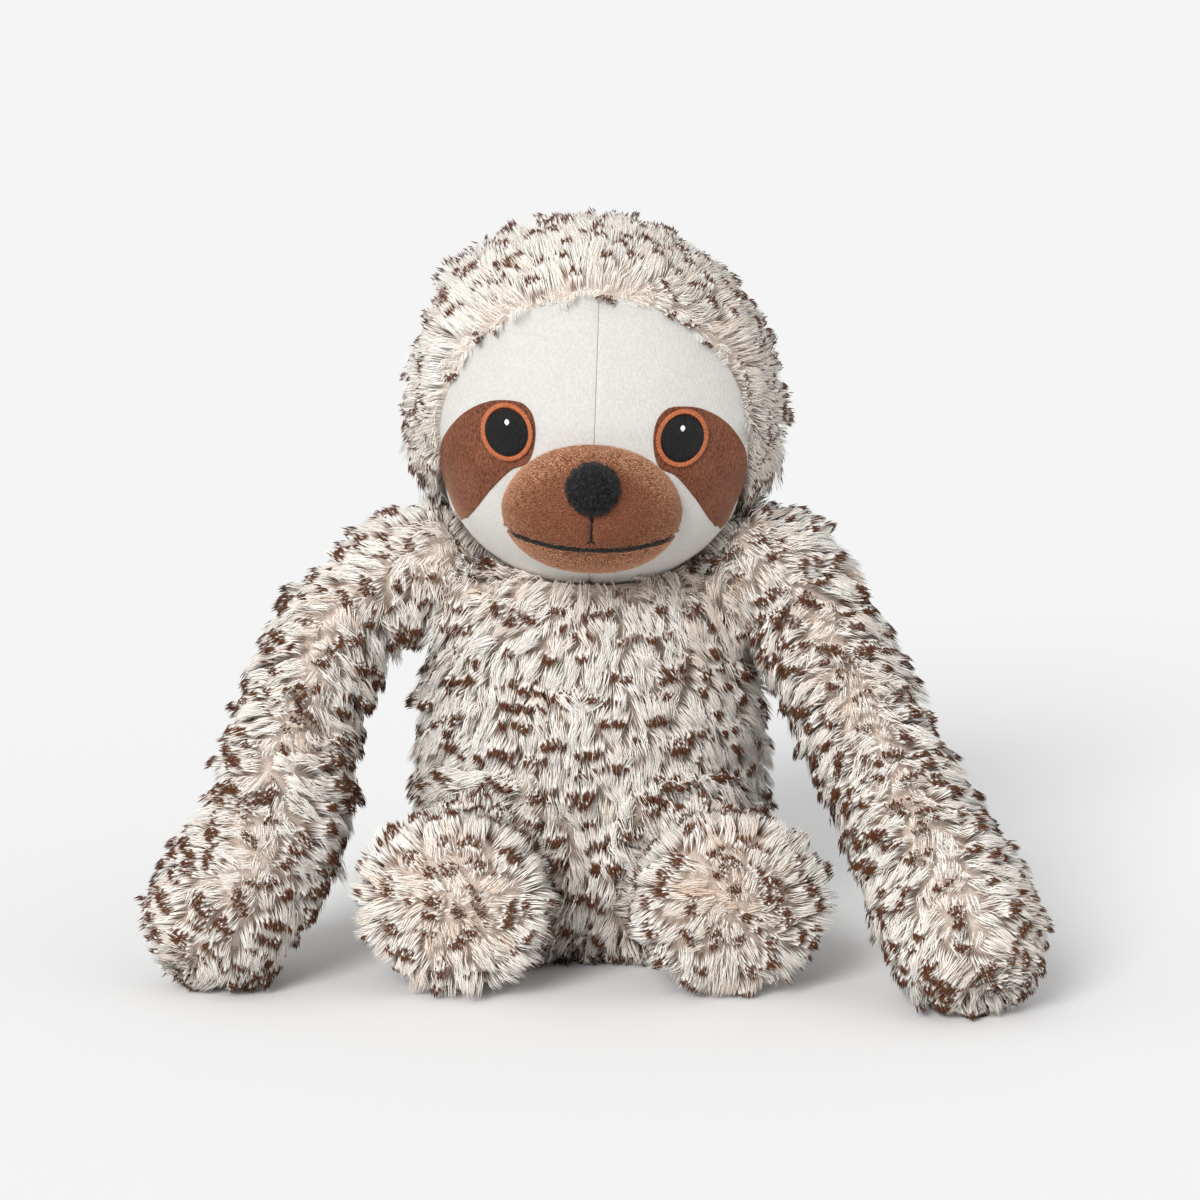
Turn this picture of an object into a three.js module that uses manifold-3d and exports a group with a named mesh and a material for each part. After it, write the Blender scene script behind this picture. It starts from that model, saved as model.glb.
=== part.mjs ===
// A seated plush sloth: fur-fabric skins over stuffing, a sewn face with a padded muzzle,
// and a head and limbs whose round roots sit in sewn seam rings.
// Millimetres, +Z up, the toy faces -Y. The origin is the middle of the flat seat.
import * as THREE from "three";
import { mergeVertices } from "three/addons/utils/BufferGeometryUtils.js";
import Module from "manifold-3d";

const wasm = await Module();
wasm.setup();

// Fabric and fit
const pile = 8; // long-pile fabric as it lies, backing and fur together
const plush = 2.5; // short plush of the face and muzzle
const gap = 0.3; // clearance between neighbouring pieces
const seamThick = 2.4; // doubled seam allowance of a seam ring
const threadRadius = 0.85; // mouth thread
const stitchHeight = 0.9; // raised satin stitch of the eyes
const patchHeight = 1.2; // plush of the eye patches
const seatCut = 0.5; // how flat the paws and feet are pressed where they stand
const overrun = 400; // how far a cutting solid runs past its work
const seamFrom = 20; // near edge of a seam ring, degrees off the way that it faces
const seamTo = 40; // and its far edge
const seamPlay = 1.2; // degrees of room at each edge of a seam ring

// Torso
const torsoHeight = 150;
const torsoHalfWidth = 66;
const torsoFront = 53;
const torsoBack = 54;
const seatPanelHeight = 9;
const bagHeight = 26;
const bagSideRoom = 26; // the pellet bag's side lies this far inside the torso's
const bagBackRoom = 18;
const bagHipRoom = 7; // between the bag and the round roots of the legs

// Head, measured from the middle of its neck ball
const neckRadius = 40;
const neckRise = 15; // middle of the ball above the torso's top
const neckBackset = 4;
const headHeight = 128;
const headHalfWidth = 71;
const headFront = 68;
const headBack = 65;
const headDrop = 23; // how far the cheeks hang below the ball's middle
const headTilt = 2; // degrees, the crown leans to the toy's left
const nodLimit = 8; // degrees each way
const turnLimit = 22;

// Arms
const shoulderRadius = 23;
const shoulderOut = 66;
const shoulderForward = -2;
const shoulderDrop = 11; // middle of the arm's root below the torso's top
const sideTrimIn = 13; // the torso's side is trimmed from this far inside the root's middle
const sideTrimFlare = 14; // and the trim opens over this length
const sideTrimReach = 55; // to this radius
const upperArmRadius = 23.5;
const elbowRadius = 24.5;
const wristRadius = 27.5;
const pawRadius = 32;
const pawOut = 130;
const leftPawForward = 112;
const rightPawForward = 80;

// Legs
const hipRadius = 26;
const hipOut = 38;
const hipForward = 47;
const hipHeight = 33;
const footHalfWidth = 37.5;
const footHalfHeight = 34;
const footOut = 53;
const footForward = 104; // middle of the sole
const soleDepth = 15; // how far the sole wraps back from its middle

// Face, measured from the middle of the neck ball
const faceHalfWidth = 56;
const faceHalfHeight = 52;
const faceRise = 26;
const muzzleHalfWidth = 33;
const muzzleHalfHeight = 24;
const muzzleDepth = 26;
const muzzleForward = 56;
const muzzleRise = 4.5;
const mouthDrop = 12.5; // mouth below the middle of the muzzle
const mouthHalfWidth = 27;
const philtrumRise = 12.5; // upper end of the philtrum above the mouth
const philtrumFork = 4.5; // where the philtrum forks, above the mouth
const philtrumSpread = 4;
const noseRadius = 9.6;
const noseDepth = 6.5;
const noseRise = 9.3; // middle of the nose above the middle of the muzzle
const noseTilt = 26; // degrees, upwards
const eyeOut = 32;
const eyeRise = 30;
const ringHalfWidth = 9.6;
const ringHalfHeight = 10.6;
const ringWidth = 1.7;
const glintHalfWidth = 1.1;
const glintHalfHeight = 1.5;
const glintRise = 3.4;
const patchHalfWidth = 17;
const patchHalfHeight = 23;
const patchDrop = 12; // middle of the patch below the middle of the eye
const patchOut = 6; // and outward of it

// Facets
const bodySides = 24;
const coreSides = 12; // inner surfaces, felt and not seen
const limbSides = 16;
const limbCoreSides = 8;
const ballSides = 24;
const muzzleSides = 20;
const eyeSides = 20;
const noseSides = 14;
const glintSides = 10;
const threadSides = 5;

// Outlines as shares: height, then half width, front and back at that height
const torsoShares = [
  [0, 0.76, 0.74, 0.78],
  [0.035, 0.89, 0.88, 0.9],
  [0.14, 0.97, 0.97, 0.97],
  [0.36, 1, 1, 1],
  [0.58, 0.97, 0.97, 0.97],
  [0.77, 0.9, 0.87, 0.9],
  [0.88, 0.86, 0.75, 0.83],
  [0.94, 0.83, 0.62, 0.74],
  [0.98, 0.72, 0.5, 0.6],
  [1, 0, 0, 0],
];
const headShares = [
  [0, 0, 0, 0],
  [0.02, 0.28, 0.62, 0.36],
  [0.06, 0.44, 0.8, 0.53],
  [0.13, 0.62, 0.91, 0.74],
  [0.2, 0.83, 0.96, 0.88],
  [0.3, 0.97, 1, 0.96],
  [0.44, 1, 1, 1],
  [0.6, 0.95, 0.93, 0.97],
  [0.76, 0.83, 0.8, 0.85],
  [0.89, 0.61, 0.58, 0.62],
  [0.97, 0.33, 0.31, 0.33],
  [1, 0, 0, 0],
];
const bagShares = [
  [0, 0.8, 0.8, 0.8],
  [0.15, 0.94, 0.94, 0.94],
  [0.5, 1, 1, 1],
  [0.85, 0.84, 0.84, 0.84],
  [1, 0, 0, 0],
];
// Ways along the arms as shares of the reach down, outward and forward
const leftArmShares = [
  [0, 0, 0],
  [0.1, 0.18, 0.04],
  [0.26, 0.29, 0.18],
  [0.46, 0.48, 0.4],
  [0.73, 0.73, 0.72],
  [1, 1, 1],
];
const rightArmShares = [
  [0, 0, 0],
  [0.1, 0.22, 0.04],
  [0.26, 0.35, 0.18],
  [0.46, 0.475, 0.4],
  [0.73, 0.65, 0.72],
  [1, 1, 1],
];
// Girth of the arms: way along, then the share of each named radius in turn
const armGirthShares = [0, 0.28, 0.52, 0.78, 1];
// The leg: way from the ball's middle to the sole, then how far the girth has gone from ball to foot
const legGirthShares = [
  [0, 0],
  [0.22, 0.1],
  [0.42, 0.45],
  [0.58, 0.84],
];
// The foot and sole: way from the ball's middle to the sole, then the share of the foot's size
const soleShares = [
  [0.7, 1],
  [0.82, 0.98],
  [0.91, 0.86],
  [0.97, 0.6],
  [1, 0],
];
// Outline of the toy's left eye patch, outward and upward, in halves of its size
const patchShares = [
  [-0.46, 0.97],
  [0, 0.93],
  [0.47, 0.74],
  [0.82, 0.43],
  [0.97, 0.13],
  [0.94, -0.35],
  [0.74, -0.74],
  [0.52, -0.96],
  [0.29, -0.78],
  [-0.06, -0.39],
  [-0.46, -0.04],
  [-0.82, 0.1],
  [-1, 0.43],
  [-0.95, 0.74],
  [-0.74, 0.92],
];
// Points of a short straight stitch
const lineShares = [0, 0.5, 1];
const muzzleSquareShare = 2.6; // 2 is an ellipse, and more is squarer

const fur = new THREE.MeshStandardMaterial({ color: 0xe4dbd2, roughness: 0.95, metalness: 0 });
const soleFur = new THREE.MeshStandardMaterial({ color: 0xc3b2a3, roughness: 0.95, metalness: 0 });
const whitePlush = new THREE.MeshStandardMaterial({ color: 0xf0eee8, roughness: 0.9, metalness: 0 });
const brownPlush = new THREE.MeshStandardMaterial({ color: 0x7a4630, roughness: 0.9, metalness: 0 });
const tanPlush = new THREE.MeshStandardMaterial({ color: 0xa5653f, roughness: 0.9, metalness: 0 });
const blackPlush = new THREE.MeshStandardMaterial({ color: 0x1d1c1e, roughness: 0.95, metalness: 0 });
const blackThread = new THREE.MeshStandardMaterial({ color: 0x242326, roughness: 0.6, metalness: 0 });
const rustThread = new THREE.MeshStandardMaterial({ color: 0xb2602f, roughness: 0.6, metalness: 0 });
const whiteThread = new THREE.MeshStandardMaterial({ color: 0xf7f7f5, roughness: 0.5, metalness: 0 });
const fibre = new THREE.MeshStandardMaterial({ color: 0xf4f3ef, roughness: 1, metalness: 0 });
const bagCloth = new THREE.MeshStandardMaterial({ color: 0xcfc8ba, roughness: 0.9, metalness: 0 });
const seamCloth = new THREE.MeshStandardMaterial({ color: 0xd8cdc1, roughness: 0.95, metalness: 0 });

// Closed solids and meshes

function solidOf(geometry) {
  const bare = new THREE.BufferGeometry();
  bare.setAttribute("position", geometry.getAttribute("position"));
  if (geometry.index) bare.setIndex(geometry.index);
  const merged = mergeVertices(bare);
  const mesh = new wasm.Mesh({
    numProp: 3,
    vertProperties: merged.attributes.position.array,
    triVerts: new Uint32Array(merged.index.array),
  });
  return new wasm.Manifold(mesh);
}

function geometryOf(solid) {
  const mesh = solid.getMesh();
  const shared = new THREE.BufferGeometry();
  shared.setAttribute("position", new THREE.BufferAttribute(mesh.vertProperties, 3));
  shared.setIndex(new THREE.BufferAttribute(mesh.triVerts, 1));
  const flat = shared.toNonIndexed();
  flat.computeVertexNormals();
  return flat;
}

function addPiece(group, name, solid, material) {
  const mesh = new THREE.Mesh(geometryOf(solid), material);
  mesh.name = name;
  group.add(mesh);
}

// A closed form through rings of equal count. A ring of no size is a pole, and any other end is capped flat.
function formThrough(rings) {
  const points = [];
  const faces = [];
  const loops = rings.map((ring) => {
    const spread = Math.max(...ring.map((point) => point.distanceTo(ring[0])));
    const kept = spread < gap ? [ring[0]] : ring;
    const first = points.length;
    points.push(...kept);
    return kept.map((_, i) => first + i);
  });
  const cap = (loop, turned) => {
    if (loop.length === 1) return;
    const middle = new THREE.Vector3();
    loop.forEach((i) => middle.addScaledVector(points[i], 1 / loop.length));
    const pole = points.push(middle) - 1;
    loop.forEach((a, i) => {
      const b = loop[(i + 1) % loop.length];
      faces.push(...(turned ? [pole, b, a] : [pole, a, b]));
    });
  };
  for (let i = 0; i + 1 < loops.length; i += 1) {
    const low = loops[i];
    const high = loops[i + 1];
    const sides = Math.max(low.length, high.length);
    for (let k = 0; k < sides; k += 1) {
      const next = (k + 1) % sides;
      if (low.length > 1) faces.push(low[k], low[next], high[high.length > 1 ? next : 0]);
      if (high.length > 1) faces.push(low[low.length > 1 ? k : 0], high[next], high[k]);
    }
  }
  cap(loops[0], true);
  cap(loops[loops.length - 1], false);
  const geometry = new THREE.BufferGeometry().setFromPoints(points);
  geometry.setIndex(faces);
  return solidOf(geometry);
}

// An upright form through an outline of shares, its whole surface drawn in by inset.
function uprightForm(size, shares, inset, floor, sides) {
  const rings = shares.map(([rise, wide, front, back]) => {
    const height = floor + inset + rise * (size.height - 2 * inset);
    const ring = [];
    for (let k = 0; k < sides; k += 1) {
      const turn = (2 * Math.PI * k) / sides;
      const depth = Math.sin(turn) < 0 ? front * (size.front - inset) : back * (size.back - inset);
      const across = wide * (size.halfWidth - inset) * Math.cos(turn);
      ring.push(new THREE.Vector3(across, depth * Math.sin(turn), height));
    }
    return ring;
  });
  return formThrough(rings);
}

// Faceted balls: one whose corners lie on the radius, and one whose facets stay outside it.
const roundShare = 1 / Math.cos(Math.PI / ballSides) ** 2;
const ballOf = (radius) => solidOf(new THREE.SphereGeometry(radius, ballSides, ballSides / 2));
const roomFor = (radius) => ballOf(radius * roundShare);

// A band of a round shell between two angles from the direction in which it faces.
function bandOf(inner, outer, from, to, facing) {
  const steps = Math.ceil(((to - from) / 360) * ballSides);
  const profile = [];
  const arc = (radius, start, end) => {
    for (let i = 0; i <= steps; i += 1) {
      const angle = THREE.MathUtils.degToRad(start + ((end - start) * i) / steps);
      profile.push(new THREE.Vector2(radius * Math.sin(angle), radius * Math.cos(angle)));
    }
  };
  arc(outer, to, from);
  arc(inner, from, to);
  profile.push(profile[0].clone());
  const geometry = new THREE.LatheGeometry(profile, ballSides);
  const upright = new THREE.Vector3(0, 1, 0);
  geometry.applyQuaternion(new THREE.Quaternion().setFromUnitVectors(upright, facing));
  return solidOf(geometry);
}

// A seam ring round a ball, the groove that it turns in, and the whole seat of the ball.
function seamRing(radius, facing) {
  const inner = (radius + gap) * roundShare;
  return bandOf(inner, inner + seamThick, seamFrom, seamTo, facing);
}
function seatOf(radius, facing) {
  const outer = ((radius + gap) * roundShare + seamThick + gap) * roundShare;
  const groove = bandOf(radius, outer, seamFrom - seamPlay, seamTo + seamPlay, facing);
  return roomFor(radius + gap).add(groove);
}
const looseSeatOf = (radius) => roomFor((radius + gap) * roundShare + seamThick + gap);

function boxBetween(low, high) {
  const size = new THREE.Vector3().subVectors(high, low);
  const middle = new THREE.Vector3().addVectors(low, high).multiplyScalar(0.5);
  return solidOf(new THREE.BoxGeometry(size.x, size.y, size.z).translate(middle.x, middle.y, middle.z));
}

// Everything on one side of a level, along one axis
function beyond(axis, level, sign) {
  const low = new THREE.Vector3(-overrun, -overrun, -overrun);
  const high = new THREE.Vector3(overrun, overrun, overrun);
  if (sign > 0) low[axis] = level;
  else high[axis] = level;
  return boxBetween(low, high);
}

const moved = (solid, at) => solid.translate([at.x, at.y, at.z]);

// Torso

const torsoSize = { height: torsoHeight, halfWidth: torsoHalfWidth, front: torsoFront, back: torsoBack };
const shoulderHeight = torsoHeight - shoulderDrop;
const neckAt = new THREE.Vector3(0, neckBackset, torsoHeight + neckRise);
const shoulderAt = (sign) => new THREE.Vector3(sign * shoulderOut, -shoulderForward, shoulderHeight);
const hipAt = (sign) => new THREE.Vector3(sign * hipOut, -hipForward, hipHeight);
const downward = new THREE.Vector3(0, 0, -1);
const backward = new THREE.Vector3(0, 1, 0);
const inward = (sign) => new THREE.Vector3(-sign, 0, 0);

// What the torso's side loses so that the arm swings past it
function sideTrim(sign) {
  const start = shoulderOut - sideTrimIn;
  const points = [
    new THREE.Vector2(0, start),
    new THREE.Vector2(shoulderRadius + gap, start),
    new THREE.Vector2(sideTrimReach, start + sideTrimFlare),
    new THREE.Vector2(sideTrimReach, overrun),
    new THREE.Vector2(0, overrun),
  ];
  const geometry = new THREE.LatheGeometry(points, ballSides);
  const upright = new THREE.Vector3(0, 1, 0);
  geometry.applyQuaternion(new THREE.Quaternion().setFromUnitVectors(upright, inward(-sign)));
  return moved(solidOf(geometry), new THREE.Vector3(0, -shoulderForward, shoulderHeight));
}

function torsoCut(solid) {
  let left = solid.subtract(moved(seatOf(neckRadius, downward), neckAt));
  for (const turn of [-turnLimit, 0, turnLimit]) {
    for (const nod of [-nodLimit, nodLimit]) {
      left = left.subtract(moved(headRoom().rotate([nod, 0, 0]).rotate([0, 0, turn]), neckAt));
    }
  }
  for (const sign of [1, -1]) {
    left = left.subtract(moved(seatOf(shoulderRadius, inward(sign)), shoulderAt(sign)));
    left = left.subtract(sideTrim(sign));
    left = left.subtract(moved(looseSeatOf(hipRadius), hipAt(sign)));
  }
  return left;
}

function torso(group) {
  const outside = uprightForm(torsoSize, torsoShares, 0, 0, bodySides);
  const inside = uprightForm(torsoSize, torsoShares, pile, 0, coreSides);
  const skin = torsoCut(outside.subtract(inside));
  const upper = skin.intersect(beyond("z", seatPanelHeight + gap, 1));
  addPiece(group, "seat_panel", skin.intersect(beyond("z", seatPanelHeight, -1)), fur);
  addPiece(group, "belly_panel", upper.intersect(beyond("y", -gap / 2, -1)), fur);
  addPiece(group, "back_panel", upper.intersect(beyond("y", gap / 2, 1)), fur);

  const bagFloor = pile + gap;
  const bagSize = {
    height: bagHeight,
    halfWidth: torsoHalfWidth - bagSideRoom,
    front: hipForward - hipRadius - bagHipRoom,
    back: torsoBack - bagBackRoom,
  };
  const bag = uprightForm(bagSize, bagShares, 0, bagFloor, coreSides);
  const bagRoomSize = {
    height: bagSize.height + 2 * gap,
    halfWidth: bagSize.halfWidth + gap,
    front: bagSize.front + gap,
    back: bagSize.back + gap,
  };
  const bagRoom = uprightForm(bagRoomSize, bagShares, 0, bagFloor - gap, coreSides);
  const core = uprightForm(torsoSize, torsoShares, pile + gap, 0, coreSides);
  addPiece(group, "torso_stuffing", torsoCut(core).subtract(bagRoom), fibre);
  addPiece(group, "pellet_bag", bag, bagCloth);
}

// Head

const headSize = { height: headHeight, halfWidth: headHalfWidth, front: headFront, back: headBack };

function headForm(inset, sides) {
  return uprightForm(headSize, headShares, inset, -headDrop, sides).add(ballOf(neckRadius - inset));
}

// The head as widest to any side, for the room that it turns in
function headRoom() {
  const reach = Math.max(headHalfWidth, headFront, headBack) + gap;
  const size = { height: headHeight, halfWidth: reach, front: reach, back: reach };
  const shares = headShares.map(([rise, wide, front, back]) => {
    const widest = Math.max(wide * headHalfWidth, front * headFront, back * headBack) / reach;
    return [rise, widest, widest, widest];
  });
  return uprightForm(size, shares, 0, -headDrop - gap, bodySides);
}

// A solid of the given outline, seen from the front, that runs forward from inside the head
function faceWall(outline) {
  const shape = new THREE.Shape(outline);
  const geometry = new THREE.ExtrudeGeometry(shape, { depth: overrun, bevelEnabled: false });
  geometry.rotateX(Math.PI / 2);
  return solidOf(geometry);
}

function ovalAt(x, z, halfWidth, halfHeight, sides) {
  const points = [];
  for (let k = 0; k < sides; k += 1) {
    const turn = (2 * Math.PI * k) / sides;
    points.push(new THREE.Vector2(x + halfWidth * Math.cos(turn), z + halfHeight * Math.sin(turn)));
  }
  return points;
}

// What lies on the face between two depths below the hood's surface, inside an outline
function faceLayer(upper, lower, outline) {
  return headForm(upper, bodySides).subtract(headForm(lower, bodySides)).intersect(faceWall(outline));
}

const faceDepth = pile - plush;
const squareOff = (x, z) =>
  (Math.abs(x) ** muzzleSquareShare + Math.abs(z) ** muzzleSquareShare) ** (1 / muzzleSquareShare);

// The muzzle's rounded form, its surface drawn in by inset
function muzzleForm(inset) {
  const geometry = new THREE.SphereGeometry(1, muzzleSides, muzzleSides / 2);
  geometry.rotateX(Math.PI / 2);
  const position = geometry.attributes.position;
  for (let i = 0; i < position.count; i += 1) {
    const across = position.getX(i);
    const up = position.getZ(i);
    const square = squareOff(across, up);
    const stretch = square > 0 ? Math.hypot(across, up) / square : 1;
    position.setXYZ(
      i,
      across * stretch * (muzzleHalfWidth - inset),
      position.getY(i) * (muzzleDepth - inset) - muzzleForward,
      up * stretch * (muzzleHalfHeight - inset) + muzzleRise,
    );
  }
  return solidOf(geometry);
}

// A point on the muzzle's surface, lifted off it
function onMuzzle(x, z, lift) {
  const square = squareOff(x / (muzzleHalfWidth + lift), (z - muzzleRise) / (muzzleHalfHeight + lift));
  const depth = (muzzleDepth + lift) * Math.sqrt(Math.max(0, 1 - square * square));
  return new THREE.Vector3(x, -muzzleForward - depth, z);
}

function threadAlong(points, steps) {
  const section = new THREE.Shape(ovalAt(0, 0, threadRadius, threadRadius, threadSides));
  const path = new THREE.CatmullRomCurve3(points);
  return solidOf(new THREE.ExtrudeGeometry(section, { steps, bevelEnabled: false, extrudePath: path }));
}

function muzzle(group) {
  const faceRoom = headForm(faceDepth - gap, bodySides);
  const skin = muzzleForm(0).subtract(muzzleForm(plush)).subtract(faceRoom);
  const mouth = muzzleRise - mouthDrop;
  const core = muzzleForm(plush + gap).subtract(faceRoom);
  addPiece(group, "muzzle_upper", skin.intersect(beyond("z", mouth + gap / 2, 1)), brownPlush);
  addPiece(group, "muzzle_lower", skin.intersect(beyond("z", mouth - gap / 2, -1)), tanPlush);
  addPiece(group, "muzzle_stuffing", core, fibre);

  const noseMiddle = onMuzzle(0, muzzleRise + noseRise, 0);
  const ball = new THREE.SphereGeometry(noseRadius, noseSides, noseSides / 2);
  ball.scale(1, noseDepth / noseRadius, 1).rotateX(THREE.MathUtils.degToRad(-noseTilt));
  const nose = moved(solidOf(ball), noseMiddle).subtract(muzzleForm(-gap));
  addPiece(group, "nose", nose, blackPlush);

  const lift = threadRadius + gap;
  const mouthSteps = 10;
  const mouthPoints = [];
  for (let i = 0; i <= mouthSteps; i += 1) {
    const x = -mouthHalfWidth + (2 * mouthHalfWidth * i) / mouthSteps;
    mouthPoints.push(onMuzzle(x, mouth, lift));
  }
  addPiece(group, "mouth_stitch", threadAlong(mouthPoints, mouthSteps).subtract(faceRoom), blackThread);

  const line = ([x0, z0], [x1, z1]) => {
    const points = lineShares.map((way) => onMuzzle(x0 + way * (x1 - x0), z0 + way * (z1 - z0), lift));
    return threadAlong(points, points.length - 1);
  };
  const foot = mouth + 2 * threadRadius + gap;
  const fork = mouth + philtrumFork;
  const stem = line([0, fork - threadRadius], [0, mouth + philtrumRise]);
  const legs = [1, -1].map((sign) => line([0, fork], [sign * philtrumSpread, foot]));
  addPiece(group, "philtrum_stitch", stem.add(legs[0]).add(legs[1]), blackThread);
}

function eye(group, side, sign, panel) {
  const x = sign * eyeOut;
  const outline = patchShares.map(
    ([out, up]) =>
      new THREE.Vector2(
        x + sign * (patchOut + out * patchHalfWidth),
        eyeRise - patchDrop + up * patchHalfHeight,
      ),
  );
  if (sign < 0) outline.reverse();
  const patchBase = faceDepth - gap;
  const stitchBase = patchBase - patchHeight - gap;
  const stitchTop = stitchBase - stitchHeight;
  const patch = faceLayer(patchBase - patchHeight, patchBase, outline)
    .intersect(faceWall(panel))
    .subtract(muzzleForm(-gap));
  addPiece(group, `eye_patch_${side}`, patch, brownPlush);

  const outer = ovalAt(x, eyeRise, ringHalfWidth, ringHalfHeight, eyeSides);
  const innerWidth = ringHalfWidth - ringWidth;
  const innerHeight = ringHalfHeight - ringWidth;
  const inner = ovalAt(x, eyeRise, innerWidth, innerHeight, eyeSides);
  const pupil = ovalAt(x, eyeRise, innerWidth - gap, innerHeight - gap, eyeSides);
  const ring = faceLayer(stitchTop, stitchBase, outer).subtract(faceWall(inner));
  addPiece(group, `eye_ring_${side}`, ring, rustThread);
  addPiece(group, `pupil_${side}`, faceLayer(stitchTop, stitchBase, pupil), blackThread);
  const glint = ovalAt(x, eyeRise + glintRise, glintHalfWidth, glintHalfHeight, glintSides);
  const glintTop = stitchTop - gap - stitchHeight;
  addPiece(group, `eye_glint_${side}`, faceLayer(glintTop, stitchTop - gap, glint), whiteThread);
}

function head(group) {
  const opening = faceWall(ovalAt(0, faceRise, faceHalfWidth, faceHalfHeight, 2 * bodySides));
  const skin = headForm(0, bodySides).subtract(headForm(pile, coreSides));
  const hood = skin.subtract(opening);
  const panel = ovalAt(0, faceRise, faceHalfWidth - gap, faceHalfHeight - gap, 2 * bodySides);
  const face = faceLayer(faceDepth, pile, panel);
  for (const [side, sign] of [["left", 1], ["right", -1]]) {
    const half = beyond("x", (sign * gap) / 2, sign);
    addPiece(group, `hood_${side}`, hood.intersect(half), fur);
    addPiece(group, `face_${side}`, face.intersect(half), whitePlush);
    eye(group, side, sign, panel);
  }
  muzzle(group);
  addPiece(group, "head_stuffing", headForm(pile + gap, coreSides), fibre);
}

// Arms

// A round limb along a curve, each end closed by half a ball.
function limbForm(curve, radii, inset, sides) {
  const ways = radii.map((radius, i) => new THREE.Vector2(armGirthShares[i], radius));
  const girth = new THREE.SplineCurve(ways);
  const steps = (sides / 4) * (radii.length - 2);
  const frames = curve.computeFrenetFrames(steps, false);
  const capSteps = sides / 4;
  const rings = [];
  const ringAt = (frame, along, radius) => {
    const middle = curve.getPointAt(frame / steps).addScaledVector(frames.tangents[frame], along);
    const ring = [];
    for (let k = 0; k < sides; k += 1) {
      const turn = (2 * Math.PI * k) / sides;
      const point = middle.clone();
      point.addScaledVector(frames.normals[frame], radius * Math.cos(turn));
      point.addScaledVector(frames.binormals[frame], radius * Math.sin(turn));
      ring.push(point);
    }
    rings.push(ring);
  };
  const first = radii[0] - inset;
  const last = radii[radii.length - 1] - inset;
  for (let i = capSteps; i > 0; i -= 1) {
    const angle = (Math.PI * i) / (2 * capSteps);
    ringAt(0, -first * Math.sin(angle), i === capSteps ? 0 : first * Math.cos(angle));
  }
  for (let i = 0; i <= steps; i += 1) ringAt(i, 0, girth.getPoint(i / steps).y - inset);
  for (let i = 1; i <= capSteps; i += 1) {
    const angle = (Math.PI * i) / (2 * capSteps);
    ringAt(steps, last * Math.sin(angle), i === capSteps ? 0 : last * Math.cos(angle));
  }
  return formThrough(rings);
}

// The seam plane of an arm: a thin sheet through its curve, running front to back.
function armSeam(curve) {
  const reach = 2 * pawRadius;
  const steps = 16;
  const start = curve.getPointAt(0).addScaledVector(curve.getTangentAt(0), -reach);
  const end = curve.getPointAt(1).addScaledVector(curve.getTangentAt(1), reach);
  const points = [start, ...curve.getSpacedPoints(steps), end];
  const rings = points.map((point, i) => {
    const before = points[Math.max(0, i - 1)];
    const after = points[Math.min(points.length - 1, i + 1)];
    const across = new THREE.Vector3(-(after.z - before.z), 0, after.x - before.x).setLength(gap / 2);
    return [[1, 1], [1, -1], [-1, -1], [-1, 1]].map(([side, depth]) => {
      const corner = point.clone().addScaledVector(across, side);
      corner.y += depth * overrun;
      return corner;
    });
  });
  return formThrough(rings);
}

function arm(group, side, sign, shares, pawForward) {
  const drop = shoulderHeight - pawRadius + seatCut;
  const reach = pawOut - shoulderOut;
  const way = shares.map(
    ([down, out, front]) => new THREE.Vector3(sign * out * reach, -front * pawForward, -down * drop),
  );
  const curve = new THREE.CatmullRomCurve3(way);
  const radii = [shoulderRadius, upperArmRadius, elbowRadius, wristRadius, pawRadius];
  const above = beyond("z", -shoulderHeight, 1);
  const sleeve = limbForm(curve, radii, 0, limbSides).subtract(limbForm(curve, radii, pile, limbCoreSides));
  const skin = sleeve.intersect(above);
  const panels = skin.subtract(armSeam(curve)).decompose();
  const outness = (solid) => sign * (solid.boundingBox().min[0] + solid.boundingBox().max[0]);
  panels.sort((a, b) => outness(b) - outness(a));
  addPiece(group, `arm_${side}_outer`, panels[0], fur);
  addPiece(group, `arm_${side}_inner`, panels[1], fur);
  addPiece(group, `arm_${side}_stuffing`, limbForm(curve, radii, pile + gap, limbCoreSides), fibre);
  addPiece(group, `shoulder_${side}_seam`, seamRing(shoulderRadius, inward(sign)), seamCloth);
}

// Legs

const legSole = (sign) => {
  const rise = footHalfHeight - hipHeight - seatCut;
  return new THREE.Vector3(sign * (footOut - hipOut), hipForward - footForward, rise);
};

// The leg from its round root to the domed sole, an oval section that grows from root to foot
function legForm(sign, inset, sides) {
  const sole = legSole(sign);
  const length = sole.length();
  const capSteps = sides / 4;
  const along = sole.clone().normalize();
  const rings = [];
  const across = new THREE.Vector3(-along.y, along.x, 0).normalize();
  const up = new THREE.Vector3().crossVectors(along, across);
  const ringAt = (way, halfWidth, halfHeight) => {
    const middle = along.clone().multiplyScalar(way);
    const ring = [];
    for (let k = 0; k < sides; k += 1) {
      const turn = (2 * Math.PI * k) / sides;
      const point = middle.clone().addScaledVector(across, halfWidth * Math.cos(turn));
      ring.push(point.addScaledVector(up, halfHeight * Math.sin(turn)));
    }
    rings.push(ring);
  };
  const root = hipRadius - inset;
  for (let i = capSteps; i > 0; i -= 1) {
    const angle = (Math.PI * i) / (2 * capSteps);
    const girth = i === capSteps ? 0 : root * Math.cos(angle);
    ringAt(-root * Math.sin(angle), girth, girth);
  }
  for (const [way, growth] of legGirthShares) {
    const wide = hipRadius + growth * (footHalfWidth - hipRadius) - inset;
    const tall = hipRadius + growth * (footHalfHeight - hipRadius) - inset;
    ringAt(way * (length - inset), wide, tall);
  }
  for (const [way, girth] of soleShares) {
    ringAt(way * (length - inset), girth * (footHalfWidth - inset), girth * (footHalfHeight - inset));
  }
  return formThrough(rings);
}

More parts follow.
